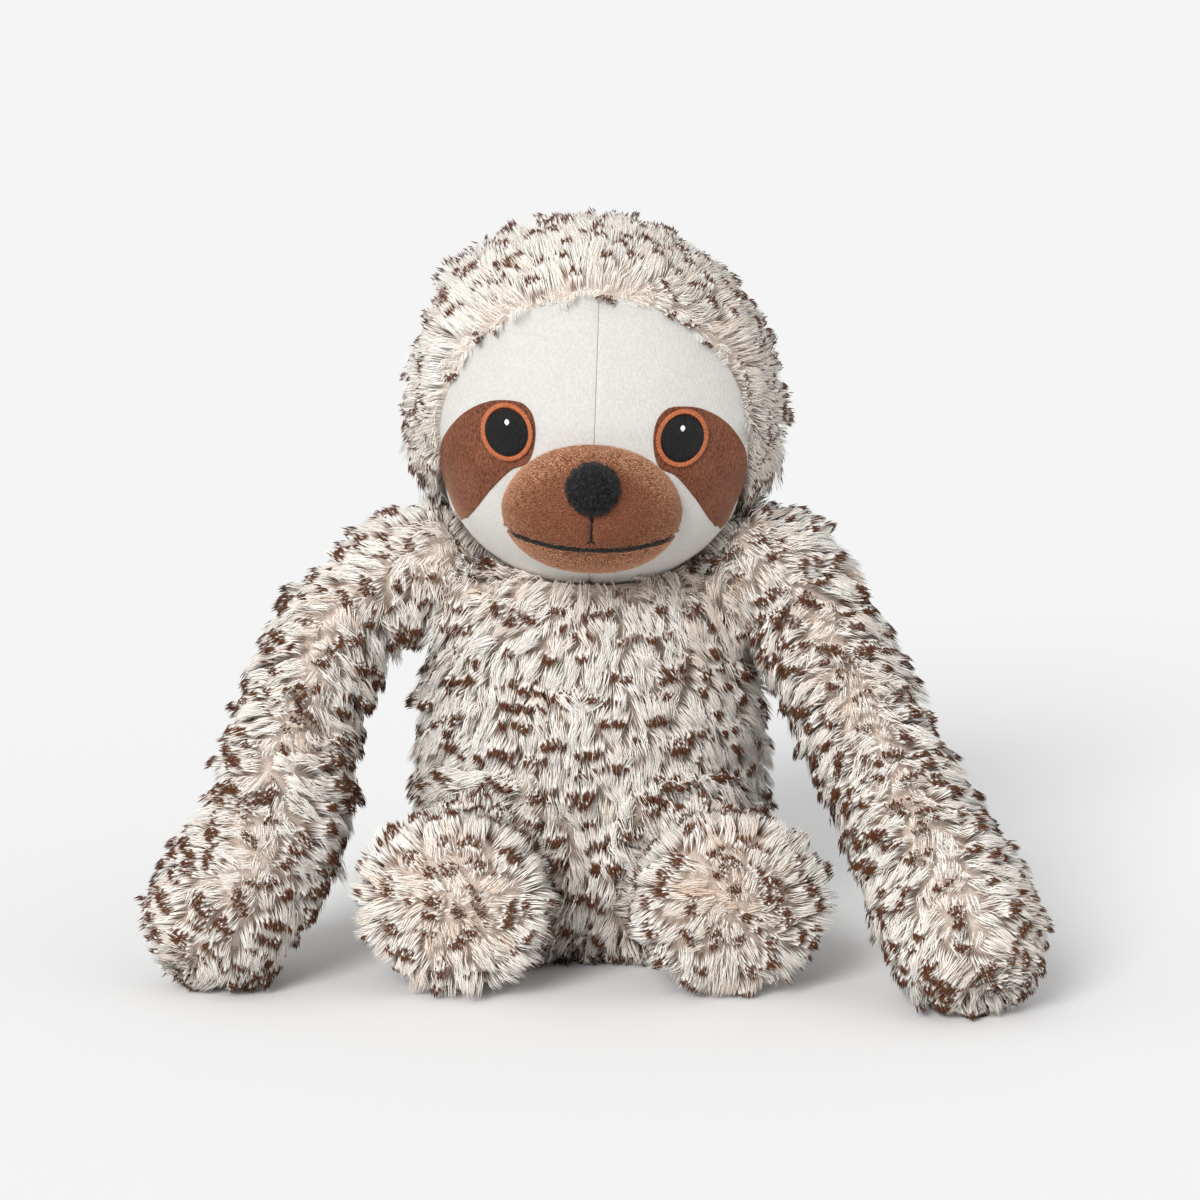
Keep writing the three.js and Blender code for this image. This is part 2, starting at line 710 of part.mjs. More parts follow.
function leg(group, side, sign) {
  const above = beyond("z", -hipHeight, 1);
  const skin = legForm(sign, 0, limbSides).subtract(legForm(sign, pile, limbCoreSides)).intersect(above);
  const soleBack = legSole(sign).y + soleDepth;
  addPiece(group, `foot_${side}_sole`, skin.intersect(beyond("y", soleBack, -1)), soleFur);
  addPiece(group, `leg_${side}_skin`, skin.intersect(beyond("y", soleBack + gap, 1)), fur);
  addPiece(group, `leg_${side}_stuffing`, legForm(sign, pile + gap, limbCoreSides), fibre);
  addPiece(group, `hip_${side}_seam`, seamRing(hipRadius, backward), seamCloth);
}

// The whole toy

const sloth = new THREE.Group();
torso(sloth);

const headGroup = new THREE.Group();
headGroup.position.copy(neckAt);
headGroup.rotation.y = THREE.MathUtils.degToRad(headTilt);
head(headGroup);
sloth.add(headGroup);

const neckGroup = new THREE.Group();
neckGroup.position.copy(neckAt);
addPiece(neckGroup, "neck_seam", seamRing(neckRadius, downward), seamCloth);
sloth.add(neckGroup);

const sides = [
  ["left", 1, leftArmShares, leftPawForward],
  ["right", -1, rightArmShares, rightPawForward],
];
for (const [side, sign, armShares, pawForward] of sides) {
  const armGroup = new THREE.Group();
  armGroup.position.copy(shoulderAt(sign));
  arm(armGroup, side, sign, armShares, pawForward + shoulderForward);
  sloth.add(armGroup);
  const legGroup = new THREE.Group();
  legGroup.position.copy(hipAt(sign));
  leg(legGroup, side, sign);
  sloth.add(legGroup);
}

export default sloth;
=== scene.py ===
# A seated plush sloth: long spotted pile over stuffed covers, a short-pile face with a padded
# muzzle, and embroidered eyes. Metres, in the CAD model's own frame; the toy faces -Y.
from contextlib import contextmanager
import math
import bpy
import numpy as np
from mathutils import Matrix
from mathutils.kdtree import KDTree


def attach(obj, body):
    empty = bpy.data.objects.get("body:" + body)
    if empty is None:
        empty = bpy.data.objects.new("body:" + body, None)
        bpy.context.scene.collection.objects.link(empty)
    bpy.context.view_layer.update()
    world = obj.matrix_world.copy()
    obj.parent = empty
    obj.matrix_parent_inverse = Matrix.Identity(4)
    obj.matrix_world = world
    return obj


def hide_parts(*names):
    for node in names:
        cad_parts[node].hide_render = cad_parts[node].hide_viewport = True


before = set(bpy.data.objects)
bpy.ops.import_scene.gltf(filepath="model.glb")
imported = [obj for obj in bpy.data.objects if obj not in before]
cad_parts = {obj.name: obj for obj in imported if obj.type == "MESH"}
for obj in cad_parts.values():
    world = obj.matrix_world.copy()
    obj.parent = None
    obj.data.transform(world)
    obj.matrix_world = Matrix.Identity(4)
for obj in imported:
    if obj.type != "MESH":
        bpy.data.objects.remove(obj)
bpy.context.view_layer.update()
mm = 0.001
sides = {"left": 1, "right": -1}  # the toy's own sides: its left is +X

# Places that the CAD model and its joints share
places = {
    "neck": np.array([0, 4, 165]) * mm,
    "headTilt": 2,
    "neckRadius": 40 * mm,
    "shoulder": np.array([66, 2, 139]) * mm,
    "shoulderRadius": 23 * mm,
    "hip": np.array([38, -47, 33]) * mm,
    "hipRadius": 26 * mm,
}
stageSettings = {
    "camera": (0.003, -1.4618, 0.3591),
    "pitch": 81,
    "lens": 120,
    "sensor": 36,
    "clipEnd": 300,
    "paper": 0.896,  # the white behind the floor
    "floorPaper": 0.948,  # the white of the floor itself
    "floor": 160,
    "skyStrength": 0.6,
    "keyStrength": 2.35,
    "keyAngle": 24,
    "keyTurn": (61, 0, -22),
}


class Wire:
    # A shader socket that Python's own operators can be used on
    def __init__(self, finish, socket):
        self.finish = finish
        self.socket = socket

    def combined(self, operation, other):
        return self.finish.add("ShaderNodeMath", {"operation": operation}, {0: self, 1: other})

    def __add__(self, other):
        return self.combined("ADD", other)

    __radd__ = __add__

    def __sub__(self, other):
        return self.combined("SUBTRACT", other)

    def __mul__(self, other):
        return self.combined("MULTIPLY", other)

    def __truediv__(self, other):
        return self.combined("DIVIDE", other)

    def __gt__(self, other):
        return self.combined("GREATER_THAN", other)

    def between(self, low, high):
        values = {"Value": self, "From Min": low, "From Max": high}
        return self.finish.add("ShaderNodeMapRange", {"interpolation_type": "SMOOTHSTEP"}, values)


class Finish:
    # A material on one Principled shader
    def __init__(self, name, roughness, **constants):
        self.material = bpy.data.materials.new(name)
        self.material.use_nodes = True
        self.tree = self.material.node_tree
        self.shader = self.tree.nodes["Principled BSDF"]
        self.shader.inputs["Roughness"].default_value = roughness
        for socket, value in constants.items():
            self.shader.inputs[socket.replace("_", " ")].default_value = value

    def add(self, kind, settings, values, output=0):
        node = self.tree.nodes.new(kind)
        for name, value in settings.items():
            setattr(node, name, value)
        for name, value in values.items():
            self.feed(node.inputs[name], value)
        return Wire(self, node.outputs[output])

    def feed(self, socket, value):
        if isinstance(value, Wire):
            self.tree.links.new(value.socket, socket)
        elif isinstance(value, tuple) and len(value) == 3 and socket.type == "RGBA":
            socket.default_value = (*value, 1)
        else:
            socket.default_value = value

    def place(self, scale=(1, 1, 1)):
        here = self.add("ShaderNodeTexCoord", {}, {}, "Object")
        return self.add("ShaderNodeMapping", {}, {"Vector": here, "Scale": scale})

    def noise(self, scale, detail=2.0, where=None):
        values = {"Vector": where or self.place(), "Scale": scale, "Detail": detail}
        return self.add("ShaderNodeTexNoise", {}, values)

    def mix(self, share, first, second):
        values = {"Factor": share, 6: first, 7: second}
        return self.add("ShaderNodeMix", {"data_type": "RGBA"}, values, 2)

    def colour(self, value):
        self.feed(self.shader.inputs["Base Color"], value)
        return self

    def bump(self, height, distance, strength=1.0):
        values = {"Height": height, "Distance": distance, "Strength": strength}
        self.feed(self.shader.inputs["Normal"], self.add("ShaderNodeBump", {}, values))
        return self


def srgb(*levels):
    shares = [level / 255 for level in levels]
    return tuple(((share + 0.055) / 1.055) ** 2.4 if share > 0.04 else share / 12.92 for share in shares)


# Camera, light and paper
print("stage")


def addPlaced(name, data, turn, location=(0, 0, 0)):
    # An object of the stage, its turn in degrees
    item = bpy.data.objects.new(name, data)
    item.location = location
    item.rotation_euler = [math.radians(angle) for angle in turn]
    bpy.context.scene.collection.objects.link(item)
    return item


def setWorld(look):
    # The camera sees plain paper all round, while the toy is lit by a sky of another strength
    world = bpy.data.worlds.new("paper")
    bpy.context.scene.world = world
    world.use_nodes = True
    nodes = world.node_tree.nodes
    lit = nodes["Background"]
    lit.inputs["Color"].default_value = (1, 1, 1, 1)
    lit.inputs["Strength"].default_value = look["skyStrength"]
    seen = nodes.new("ShaderNodeBackground")
    seen.inputs["Color"].default_value = (look["paper"],) * 3 + (1,)
    rays = nodes.new("ShaderNodeLightPath")
    either = nodes.new("ShaderNodeMath")
    either.operation = "MAXIMUM"
    mixed = nodes.new("ShaderNodeMixShader")
    wires = [
        (rays.outputs["Is Camera Ray"], either.inputs[0]),
        (rays.outputs["Is Glossy Ray"], either.inputs[1]),
        (either.outputs[0], mixed.inputs[0]),
        (lit.outputs[0], mixed.inputs[1]),
        (seen.outputs[0], mixed.inputs[2]),
        (mixed.outputs[0], nodes["World Output"].inputs["Surface"]),
    ]
    for start, end in wires:
        world.node_tree.links.new(start, end)


def setStage(look):
    camera = bpy.data.cameras.new("camera")
    camera.lens = look["lens"]
    camera.sensor_width = look["sensor"]
    camera.clip_end = look["clipEnd"]
    bpy.context.scene.camera = addPlaced("camera", camera, (look["pitch"], 0, 0), look["camera"])
    bpy.context.scene.view_settings.view_transform = "Standard"
    key = bpy.data.lights.new("key", "SUN")
    key.energy = look["keyStrength"]
    key.angle = math.radians(look["keyAngle"])
    addPlaced("key", key, look["keyTurn"])
    setWorld(look)
    bpy.ops.mesh.primitive_plane_add(size=look["floor"], location=(0, 0, 0))
    floor = bpy.context.object
    floor.name = "floor"
    paper = Finish("paper", 1.0, Specular_IOR_Level=0.0)
    floor.data.materials.append(paper.colour((look["floorPaper"],) * 3).material)


setStage(stageSettings)


# Finishes
print("finishes")
strandColours = {
    "plainShare": 0.6,  # how much of the tone scale is plain pile, and the rest is spotted
    "rootShadeFade": (0.06, 0.58),  # where along a strand its root's painted shade goes over into the body's colour
}
# root, here and in the muzzle's and nose's colours, is painted shade deep in the pile, where strands
# shadow each other
furColours = dict(
    strandColours,
    root=srgb(132, 92, 65),
    tan=srgb(238, 208, 182),
    cream=srgb(255, 251, 244),
    streak=0.3,  # how much the tone varies from one side of a strand to the other
    spot=srgb(58, 31, 18),
    spotEnd=srgb(118, 73, 47),
    spotStart=0.4,  # how far up a strand its brown end begins, at the least
    spotSpread=0.4,  # how much higher it begins with each step of the tone
    spotFade=0.14,
    spotTones=(0.02, 0.34),  # how far above the plain tones those of spots begin, and their stretch
)
# The muzzle's cream is reached at its edges through painted sheen and top light, and on the lower lip
# partly through that lip's own lighter cloth
muzzleColours = dict(
    strandColours, root=srgb(88, 47, 30), tan=srgb(110, 62, 42), cream=srgb(232, 172, 134), streak=0.08,
)
noseColours = dict(
    strandColours, root=srgb(8, 8, 9), tan=srgb(20, 20, 21), cream=srgb(74, 74, 76), streak=0.3,
)


def furFinish(name, look):
    # The tone of a strand runs along U and the way from root to tip along V.
    finish = Finish(name, 0.75, Specular_IOR_Level=0.15, Sheen_Weight=0.05)
    uv = finish.add("ShaderNodeUVMap", {"uv_map": "OFBake"}, {})
    tone = finish.add("ShaderNodeSeparateXYZ", {}, {0: uv})
    way = Wire(finish, tone.socket.node.outputs[1])
    grain = {"W": tone * 900.0, "Detail": 1.0}
    streak = finish.add("ShaderNodeTexNoise", {"noise_dimensions": "1D"}, grain)
    plain = (tone / look["plainShare"]).between(0.0, 1.0) + (streak - 0.5) * look["streak"]
    body = finish.mix(plain, look["tan"], look["cream"])
    # Painted shade: towards its root a strand darkens to the root colour
    body = finish.mix(way.between(*look["rootShadeFade"]), look["root"], body)
    if "spot" not in look:
        return finish.colour(body).material
    start = look["spotStart"] + (tone - look["plainShare"]) * look["spotSpread"]
    spotted = (way - start).between(0.0, look["spotFade"]) * (tone > look["plainShare"])
    spot = finish.mix(streak, look["spot"], look["spotEnd"])
    return finish.colour(finish.mix(spotted, body, spot)).material


def clothFinish(name, dark, light, size, depth):
    finish = Finish(name, 0.95, Specular_IOR_Level=0.2)
    weave = finish.noise(1 / size, 3.0)
    finish.colour(finish.mix(weave.between(0.3, 0.7), srgb(*dark), srgb(*light)))
    return finish.bump(weave, depth).material


def napFinish(name, dark, light, grain, brushing=0.25, sheen=0.35, sheenTint=(1, 1, 1)):
    # Short plush: a fine grain that catches light, over patches where the nap was brushed
    sheens = {"Sheen_Weight": sheen, "Sheen_Roughness": 0.4, "Sheen_Tint": (*sheenTint, 1)}
    finish = Finish(name, 0.9, Specular_IOR_Level=0.2, **sheens)
    fine = finish.noise(1 / grain, 2.0, finish.place((1, 1, 0.6)))
    brushed = finish.noise(1 / (14 * grain), 2.0)
    tone = fine.between(0.3, 0.7) * (1 - brushing) + brushed.between(0.35, 0.7) * brushing
    finish.colour(finish.mix(tone, srgb(*dark), srgb(*light)))
    return finish.bump(fine, 0.35 * grain, 0.9).material


def threadFinish(name, dark, light, gloss=0.4):
    finish = Finish(name, 0.5, Specular_IOR_Level=gloss, Sheen_Weight=0.5 * gloss)
    fibre = finish.noise(4000.0, 2.0, finish.place((1, 1, 0.3)))
    finish.colour(finish.mix(fibre.between(0.3, 0.7), srgb(*dark), srgb(*light)))
    return finish.bump(fibre, 0.12 * mm).material


finishes = {
    "fur": furFinish("spotted_pile", furColours),
    "muzzleNap": furFinish("muzzle_nap", muzzleColours),
    "noseNap": furFinish("nose_nap", noseColours),
    "backing": clothFinish("pile_backing", (196, 178, 163), (226, 212, 200), 0.5 * mm, 0.2 * mm),
    "white": napFinish("white_plush", (201, 198, 194), (213, 211, 206), 0.8 * mm, 0.15),
    "brown": napFinish(
        "brown_plush", (84, 46, 32), (138, 86, 63), 0.7 * mm, 0.2, 0.5, (0.8, 0.5, 0.36),
    ),
    "muzzle": napFinish(
        "muzzle_plush", (92, 50, 33), (130, 76, 52), 0.45 * mm, 0.2, 1.0, (0.85, 0.55, 0.38),
    ),
    "black": napFinish("black_plush", (14, 14, 16), (40, 39, 41), 0.5 * mm, 0.3, 0.15),
    "blackThread": threadFinish("black_thread", (8, 8, 9), (33, 33, 35), 0.15),
    "rustThread": threadFinish("rust_thread", (158, 78, 36), (206, 118, 66)),
    "whiteThread": threadFinish("white_thread", (225, 225, 225), (252, 252, 252)),
    "fibre": clothFinish("stuffing", (225, 223, 218), (250, 249, 246), 1.5 * mm, 1.0 * mm),
    "bag": clothFinish("bag_cloth", (190, 182, 166), (216, 208, 194), 0.6 * mm, 0.2 * mm),
    "tape": clothFinish("seam_cloth", (190, 176, 163), (224, 212, 200), 0.6 * mm, 0.2 * mm),
}


# Mesh helpers
coverThick = 1.2 * mm


def onlySelect(*objects):
    bpy.ops.object.select_all(action="DESELECT")
    for item in objects:
        item.select_set(True)
    bpy.context.view_layer.objects.active = objects[0]


@contextmanager
def editing(piece):
    # Edit mode, with all of the piece selected
    onlySelect(piece)
    bpy.ops.object.mode_set(mode="EDIT")
    bpy.ops.mesh.select_all(action="SELECT")
    yield
    bpy.ops.object.mode_set(mode="OBJECT")


def applyModifier(piece, kind, **settings):
    onlySelect(piece)
    modifier = piece.modifiers.new(kind.lower(), kind)
    for name, value in settings.items():
        setattr(modifier, name, value)
    bpy.ops.object.modifier_apply(modifier=modifier.name)


def vectorsOf(items, attribute):
    flat = np.empty(3 * len(items), np.float32)
    items.foreach_get(attribute, flat)
    return flat.reshape(-1, 3).astype(float)


def pointsOf(piece):
    return vectorsOf(piece.data.vertices, "co")


def normalsOf(piece):
    return vectorsOf(piece.data.vertex_normals, "vector")


def setPoints(piece, points):
    piece.data.vertices.foreach_set("co", points.astype(np.float32).ravel())
    piece.data.update()


def unit(vectors):
    return vectors / np.maximum(np.linalg.norm(vectors, axis=-1, keepdims=True), 1e-9)


def distance(points, centre):
    return np.linalg.norm(points - centre, axis=1)


def softstep(values, low, high):
    share = np.clip((values - low) / (high - low), 0, 1)
    return share * share * (3 - 2 * share)


def finishPiece(piece, name, body, finish, nodes=()):
    piece.name = name
    piece.data.name = name
    piece.data.materials.clear()
    piece.data.materials.append(finishes[finish])
    piece.data.polygons.foreach_set("use_smooth", np.ones(len(piece.data.polygons), bool))
    piece.data.update()
    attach(piece, body)
    if nodes:
        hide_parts(*nodes)


def finishCover(cover, name, body, nodes):
    # The cloth that pile grew on gets its thickness last
    applyModifier(cover, "SOLIDIFY", thickness=coverThick, offset=-1)
    finishPiece(cover, name, body, "backing", nodes)


def ball(segments, rings, forward=False):
    # A ball of radius 1 and its points, its poles along Y where forward is set
    turn = (math.pi / 2 if forward else 0, 0, 0)
    bpy.ops.mesh.primitive_uv_sphere_add(segments=segments, ring_count=rings, radius=1, rotation=turn)
    piece = bpy.context.object
    if forward:
        bpy.ops.object.transform_apply(location=False, rotation=True, scale=False)
    return piece, pointsOf(piece)


def largestPart(piece):
    # Leaves out walls that a remesh keeps inside the form
    with editing(piece):
        bpy.ops.mesh.separate(type="LOOSE")
    parts = sorted(bpy.context.selected_objects, key=lambda item: max(item.dimensions))
    for part in parts[:-1]:
        bpy.data.objects.remove(part)
    onlySelect(parts[-1])
    return parts[-1]


def softForm(nodeNames, voxel, inset, smoothing, insetShare=None, added=()):
    # One smooth closed form over the CAD's soft solids and the added forms, its surface drawn in
    # by inset, and by less where insetShare says so, as at a joint where two forms meet
    copies = list(added)
    for nodeName in nodeNames:
        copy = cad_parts[nodeName].copy()
        copy.data = copy.data.copy()
        copy.parent = None
        copy.matrix_world = Matrix.Identity(4)
        for key in list(copy.keys()):
            del copy[key]
        copy.hide_render = False
        copy.hide_viewport = False
        bpy.context.scene.collection.objects.link(copy)
        copies.append(copy)
    onlySelect(*copies)
    if len(copies) > 1:
        bpy.ops.object.join()
    piece = bpy.context.object
    with editing(piece):
        bpy.ops.mesh.remove_doubles(threshold=0.01 * mm)
    piece.data.remesh_voxel_size = voxel
    bpy.ops.object.voxel_remesh()
    piece = largestPart(piece)
    applyModifier(piece, "SMOOTH", factor=0.5, iterations=smoothing)
    if inset:
        points = pointsOf(piece)
        share = insetShare(points) if insetShare else np.ones(len(points))
        setPoints(piece, points - (inset * share)[:, None] * normalsOf(piece))
        applyModifier(piece, "SMOOTH", factor=0.5, iterations=2)
    return piece


def offSeats(points, seats, near, far):
    # 0 at the round seats of the joints, and 1 away from them
    share = np.ones(len(points))
    for centre, radius in seats:
        share = np.minimum(share, softstep(distance(points, centre) - radius, near, far))
    return share


# Pile
pile = {
    "length": (10.5, 16.0),  # mm
    "halfWidth": (0.12, 0.21),
    "liftAtRoot": 56,  # degrees off the cloth
    "liftAtTip": 12,
    "perSquareMm": 1.5,
    "lock": 4.2,  # mm between the middles of locks
    "lockPull": 0.56,
    "lockTurn": 0.31,  # how far locks turn and rise off the flow, radians
    "lockRise": 0.16,
    "normalLean": 0.6,  # how much a strand is lit like the cloth under it
    "plain": (0.8, 0.12, 0.12),  # middle and swing of the plain tone, from tan to cream
    "spotAlong": 5.9,  # mm between spots, along and across the pile
    "spotAcross": 11.0,
    "spotHalfAlong": (0.9, 1.9),
    "spotHalfAcross": (3.0, 11.0),
    "spotSkew": 1.4,  # above 1, more of the spots are small ones
    "spotFull": 2.4,  # how much wider and longer a spotted strand is
    "spotReach": 0.97,
    "spotBend": 0.45,  # how far towards its tip a spotted strand's bend, its widest place, moves
    "spotRise": 0.6,
}
limbPile = dict(pile, spotAlong=4.7, spotAcross=9.0, spotHalfAlong=(1.4, 2.5), spotHalfAcross=(3.5, 11.5))
headPile = dict(
    pile, length=(12, 17), liftAtRoot=48, liftAtTip=8, lockTurn=0.22, lockRise=0.12,
    spotAlong=5.7, spotAcross=9.5,
)
bendAt = 0.56  # where along its length a strand bends
combWander = 50 * mm  # the size of the slow swirls in the way of the pile, and in its tone
toneWander = 30 * mm
uvWide, uvEdge = 0.004, 0.01  # how much of U a strand takes, and how far V stays off its ends
floorGap = 0.4 * mm  # the least height of a strand
each = {  # how strands differ from their lock
    "swirl": 0.3, "turn": 0.14, "length": (0.82, 1.08), "lifts": (0.1, 0.12),
    "pull": (0.6, 1.2), "pullAtBend": 0.35, "ragged": (0.6, 1.15),
}


def scatter(piece, perSquareMm, rng):
    piece.data.calc_loop_triangles()
    corners = np.empty(3 * len(piece.data.loop_triangles), np.int32)
    piece.data.loop_triangles.foreach_get("vertices", corners)
    corners = corners.reshape(-1, 3)
    points = pointsOf(piece)
    normals = normalsOf(piece)
    a, b, c = (points[corners[:, i]] for i in range(3))
    areas = 0.5 * np.linalg.norm(np.cross(b - a, c - a), axis=1)
    count = int(areas.sum() / mm**2 * perSquareMm)
    chosen = rng.choice(len(areas), size=count, p=areas / areas.sum())
    first, second = rng.random(count), rng.random(count)
    over = first + second > 1
    first[over], second[over] = 1 - first[over], 1 - second[over]
    weights = np.stack([1 - first - second, first, second], 1)[:, :, None]
    spots = (points[corners[chosen]] * weights).sum(1)
    return spots, unit((normals[corners[chosen]] * weights).sum(1))


def tangent(directions, normals):
    return unit(directions - (directions * normals).sum(1, keepdims=True) * normals)


def treeOf(points):
    tree = KDTree(len(points))
    for i, point in enumerate(points):
        tree.insert(point, i)
    tree.balance()
    return tree


def nearest(points, centres):
    tree = treeOf(centres)
    return np.array([tree.find(point)[1] for point in points])


def wander(points, size, seed):
    # A slow swirl from a few waves, the same each run
    rng = np.random.default_rng(seed)
    total = np.zeros(len(points))
    for _ in range(4):
        wave = unit(rng.normal(size=3)) * 2 * math.pi / (size * rng.uniform(0.7, 1.5))
        total += np.sin(points @ wave + rng.uniform(0, 2 * math.pi))
    return total / 2


def turned(directions, normals, angles):
    across = np.cross(normals, directions)
    return directions * np.cos(angles)[:, None] + across * np.sin(angles)[:, None]


def strandPath(roots, normals, directions, lengths, liftRoot, liftTip):
    # Root, bend and tip of strands that lean over towards the cloth
    path = [roots]
    for share, part in ((0.15, bendAt), (0.85, 1 - bendAt)):
        lift = liftRoot + (liftTip - liftRoot) * share
        step = directions * np.cos(lift)[:, None] + normals * np.sin(lift)[:, None]
        path.append(path[-1] + step * (lengths * part)[:, None])
    return path


def placeSpots(roots, normals, directions, rng, look):
    # One root in five is tried, in a mixed order, and is a spot where it is clear of the others
    order = rng.permutation(len(roots))[: len(roots) // 5]
    across = np.cross(normals, directions)
    centres = []
    for i in order:
        if centres:
            offset = roots[centres] - roots[i]
            along = (offset @ directions[i]) / (look["spotAlong"] * mm)
            side = (offset @ across[i]) / (look["spotAcross"] * mm)
            up = (offset @ normals[i]) / (look["spotAcross"] * mm)
            if (along**2 + side**2 + up**2).min() < 1:
                continue
        centres.append(i)
    return np.array(centres)


# Corners of one strand, a root, three round the bend and a tip, with the share of the strand's
# own stretch of U and the way along V at each corner of each face
strandFaces = []
for k in range(3):
    n = (k + 1) % 3
    strandFaces.append([(0, k + 0.5, 0), (1 + k, k, bendAt), (1 + n, k + 1, bendAt)])
    strandFaces.append([(1 + n, k + 1, bendAt), (1 + k, k, bendAt), (4, k + 0.5, 1)])
strandFaces = np.array(strandFaces)


def strandMesh(name, path, normals, halfWidths, tones, rolls, starts):
    root, bend, tip = path
    count = len(root)
    vertices = np.empty((count, 5, 3), np.float32)
    shading = np.empty((count, 5, 3), np.float32)
    lean = pile["normalLean"]
    along = unit(tip - root)
    side = unit(np.cross(along, normals))
    rise = np.cross(side, along)
    vertices[:, 0] = root
    for k in range(3):
        angle = rolls + k * 2 * math.pi / 3
        reach = side * np.cos(angle)[:, None] + rise * np.sin(angle)[:, None]
        vertices[:, 1 + k] = bend + reach * halfWidths[:, None]
        shading[:, 1 + k] = unit(reach * (1 - lean) + normals * lean)
    vertices[:, 4] = tip
    shading[:, 0] = normals
    shading[:, 4] = unit(along * 0.3 + normals)
    corners = strandFaces[:, :, 0].astype(np.int64).ravel()
    loops = (np.arange(count)[:, None] * 5 + corners).ravel()
    mesh = bpy.data.meshes.new(name)
    mesh.vertices.add(5 * count)
    mesh.vertices.foreach_set("co", vertices.ravel())
    mesh.loops.add(len(loops))
    mesh.loops.foreach_set("vertex_index", loops.astype(np.int32))
    mesh.polygons.add(len(loops) // 3)
    mesh.polygons.foreach_set("loop_start", np.arange(0, len(loops), 3, dtype=np.int32))
    uv = np.empty((count, len(corners), 2), np.float32)
    uv[:, :, 0] = tones[:, None] + uvWide * strandFaces[:, :, 1].ravel()
    way = strandFaces[:, :, 2].ravel()
    uv[:, :, 1] = uvEdge + (1 - 2 * uvEdge) * (starts[:, None] + (1 - starts[:, None]) * way)
    mesh.uv_layers.new(name="OFBake").data.foreach_set("uv", uv.ravel())
    mesh.polygons.foreach_set("use_smooth", np.ones(len(loops) // 3, bool))
    mesh.update(calc_edges=True)
    mesh.normals_split_custom_set_from_vertices(shading.reshape(-1, 3))
    piece = bpy.data.objects.new(name, mesh)
    bpy.context.scene.collection.objects.link(piece)
    return piece


def combStrands(roots, normals, lock, middles, flow, shape, seed, look, rng):
    # The root, bend and tip of all strands: each leans with the flow, and is then pulled to its lock
    count = len(roots)
    lockNormals = np.zeros_like(middles)
    np.add.at(lockNormals, lock, normals)
    lockNormals = unit(lockNormals)

    def combed(points, normals):
        main = tangent(flow(points, normals), normals)
        return turned(main, normals, each["swirl"] * wander(points, combWander, seed + 1))

    main = combed(roots, normals)
    lockTurn = rng.normal(0, look["lockTurn"], len(middles))
    directions = turned(main, normals, lockTurn[lock] + rng.normal(0, each["turn"], count))
    lockDirections = turned(combed(middles, lockNormals), lockNormals, lockTurn)
    lockLength = rng.uniform(*look["length"], len(middles)) * mm
    lockRise = rng.normal(0, look["lockRise"], len(middles))
    lockLifts = [np.radians(look[end]) + lockRise for end in ("liftAtRoot", "liftAtTip")]
    lengthShare, extraLift = shape(roots, normals) if shape else (np.ones(count), 0)
    lengths = lockLength[lock] * rng.uniform(*each["length"], count) * lengthShare
    lifts = []
    for lift, swing in zip(lockLifts, each["lifts"]):
        lifts.append(lift[lock] + rng.normal(0, swing, count) + extraLift)
    path = strandPath(roots, normals, directions, lengths, *lifts)
    lockPath = strandPath(middles, lockNormals, lockDirections, lockLength, *lockLifts)
    for step, share in ((1, each["pullAtBend"]), (2, 1.0)):
        pull = look["lockPull"] * share * rng.uniform(*each["pull"], count)[:, None]
        goal = roots + (lockPath[step][lock] - roots) * lengthShare[:, None]
        path[step] = path[step] + (goal - path[step]) * pull
    return path, main


def toneStrands(roots, normals, tips, main, lock, tan, seed, look, rng):
    # Plain tones that vary slowly, by lock and by strand, and then the spots at the tips
    locks = lock.max() + 1
    middle, swing, ownSwing = look["plain"]
    plain = middle + swing * wander(roots, toneWander, seed + 2)
    plain = plain + rng.normal(0, swing, locks)[lock] + rng.normal(0, ownSwing, len(roots))
    if tan:
        plain = plain - tan(roots)
    plainShare = furColours["plainShare"]
    above, stretch = furColours["spotTones"]
    tones = plainShare * np.clip(plain, 0.02, 0.96)
    if "spotAlong" not in look:
        return tones
    tree = treeOf(tips)
    low, high = look["spotHalfAcross"]
    for i in placeSpots(roots, normals, main, rng, look):
        halfAlong = rng.uniform(*look["spotHalfAlong"]) * mm
        halfAcross = (low + (high - low) * rng.random() ** look["spotSkew"]) * mm
        near = np.array([item[1] for item in tree.find_range(tips[i], 1.1 * halfAcross)])
        offset = tips[near] - tips[i]
        along = offset @ main[i] / halfAlong
        side = offset @ np.cross(normals[i], main[i]) / halfAcross
        ragged = rng.uniform(*each["ragged"], len(near))
        inside = near[along**2 + side**2 < ragged]
        tones[inside] = plainShare + above + stretch * rng.random(len(inside))
    return tones


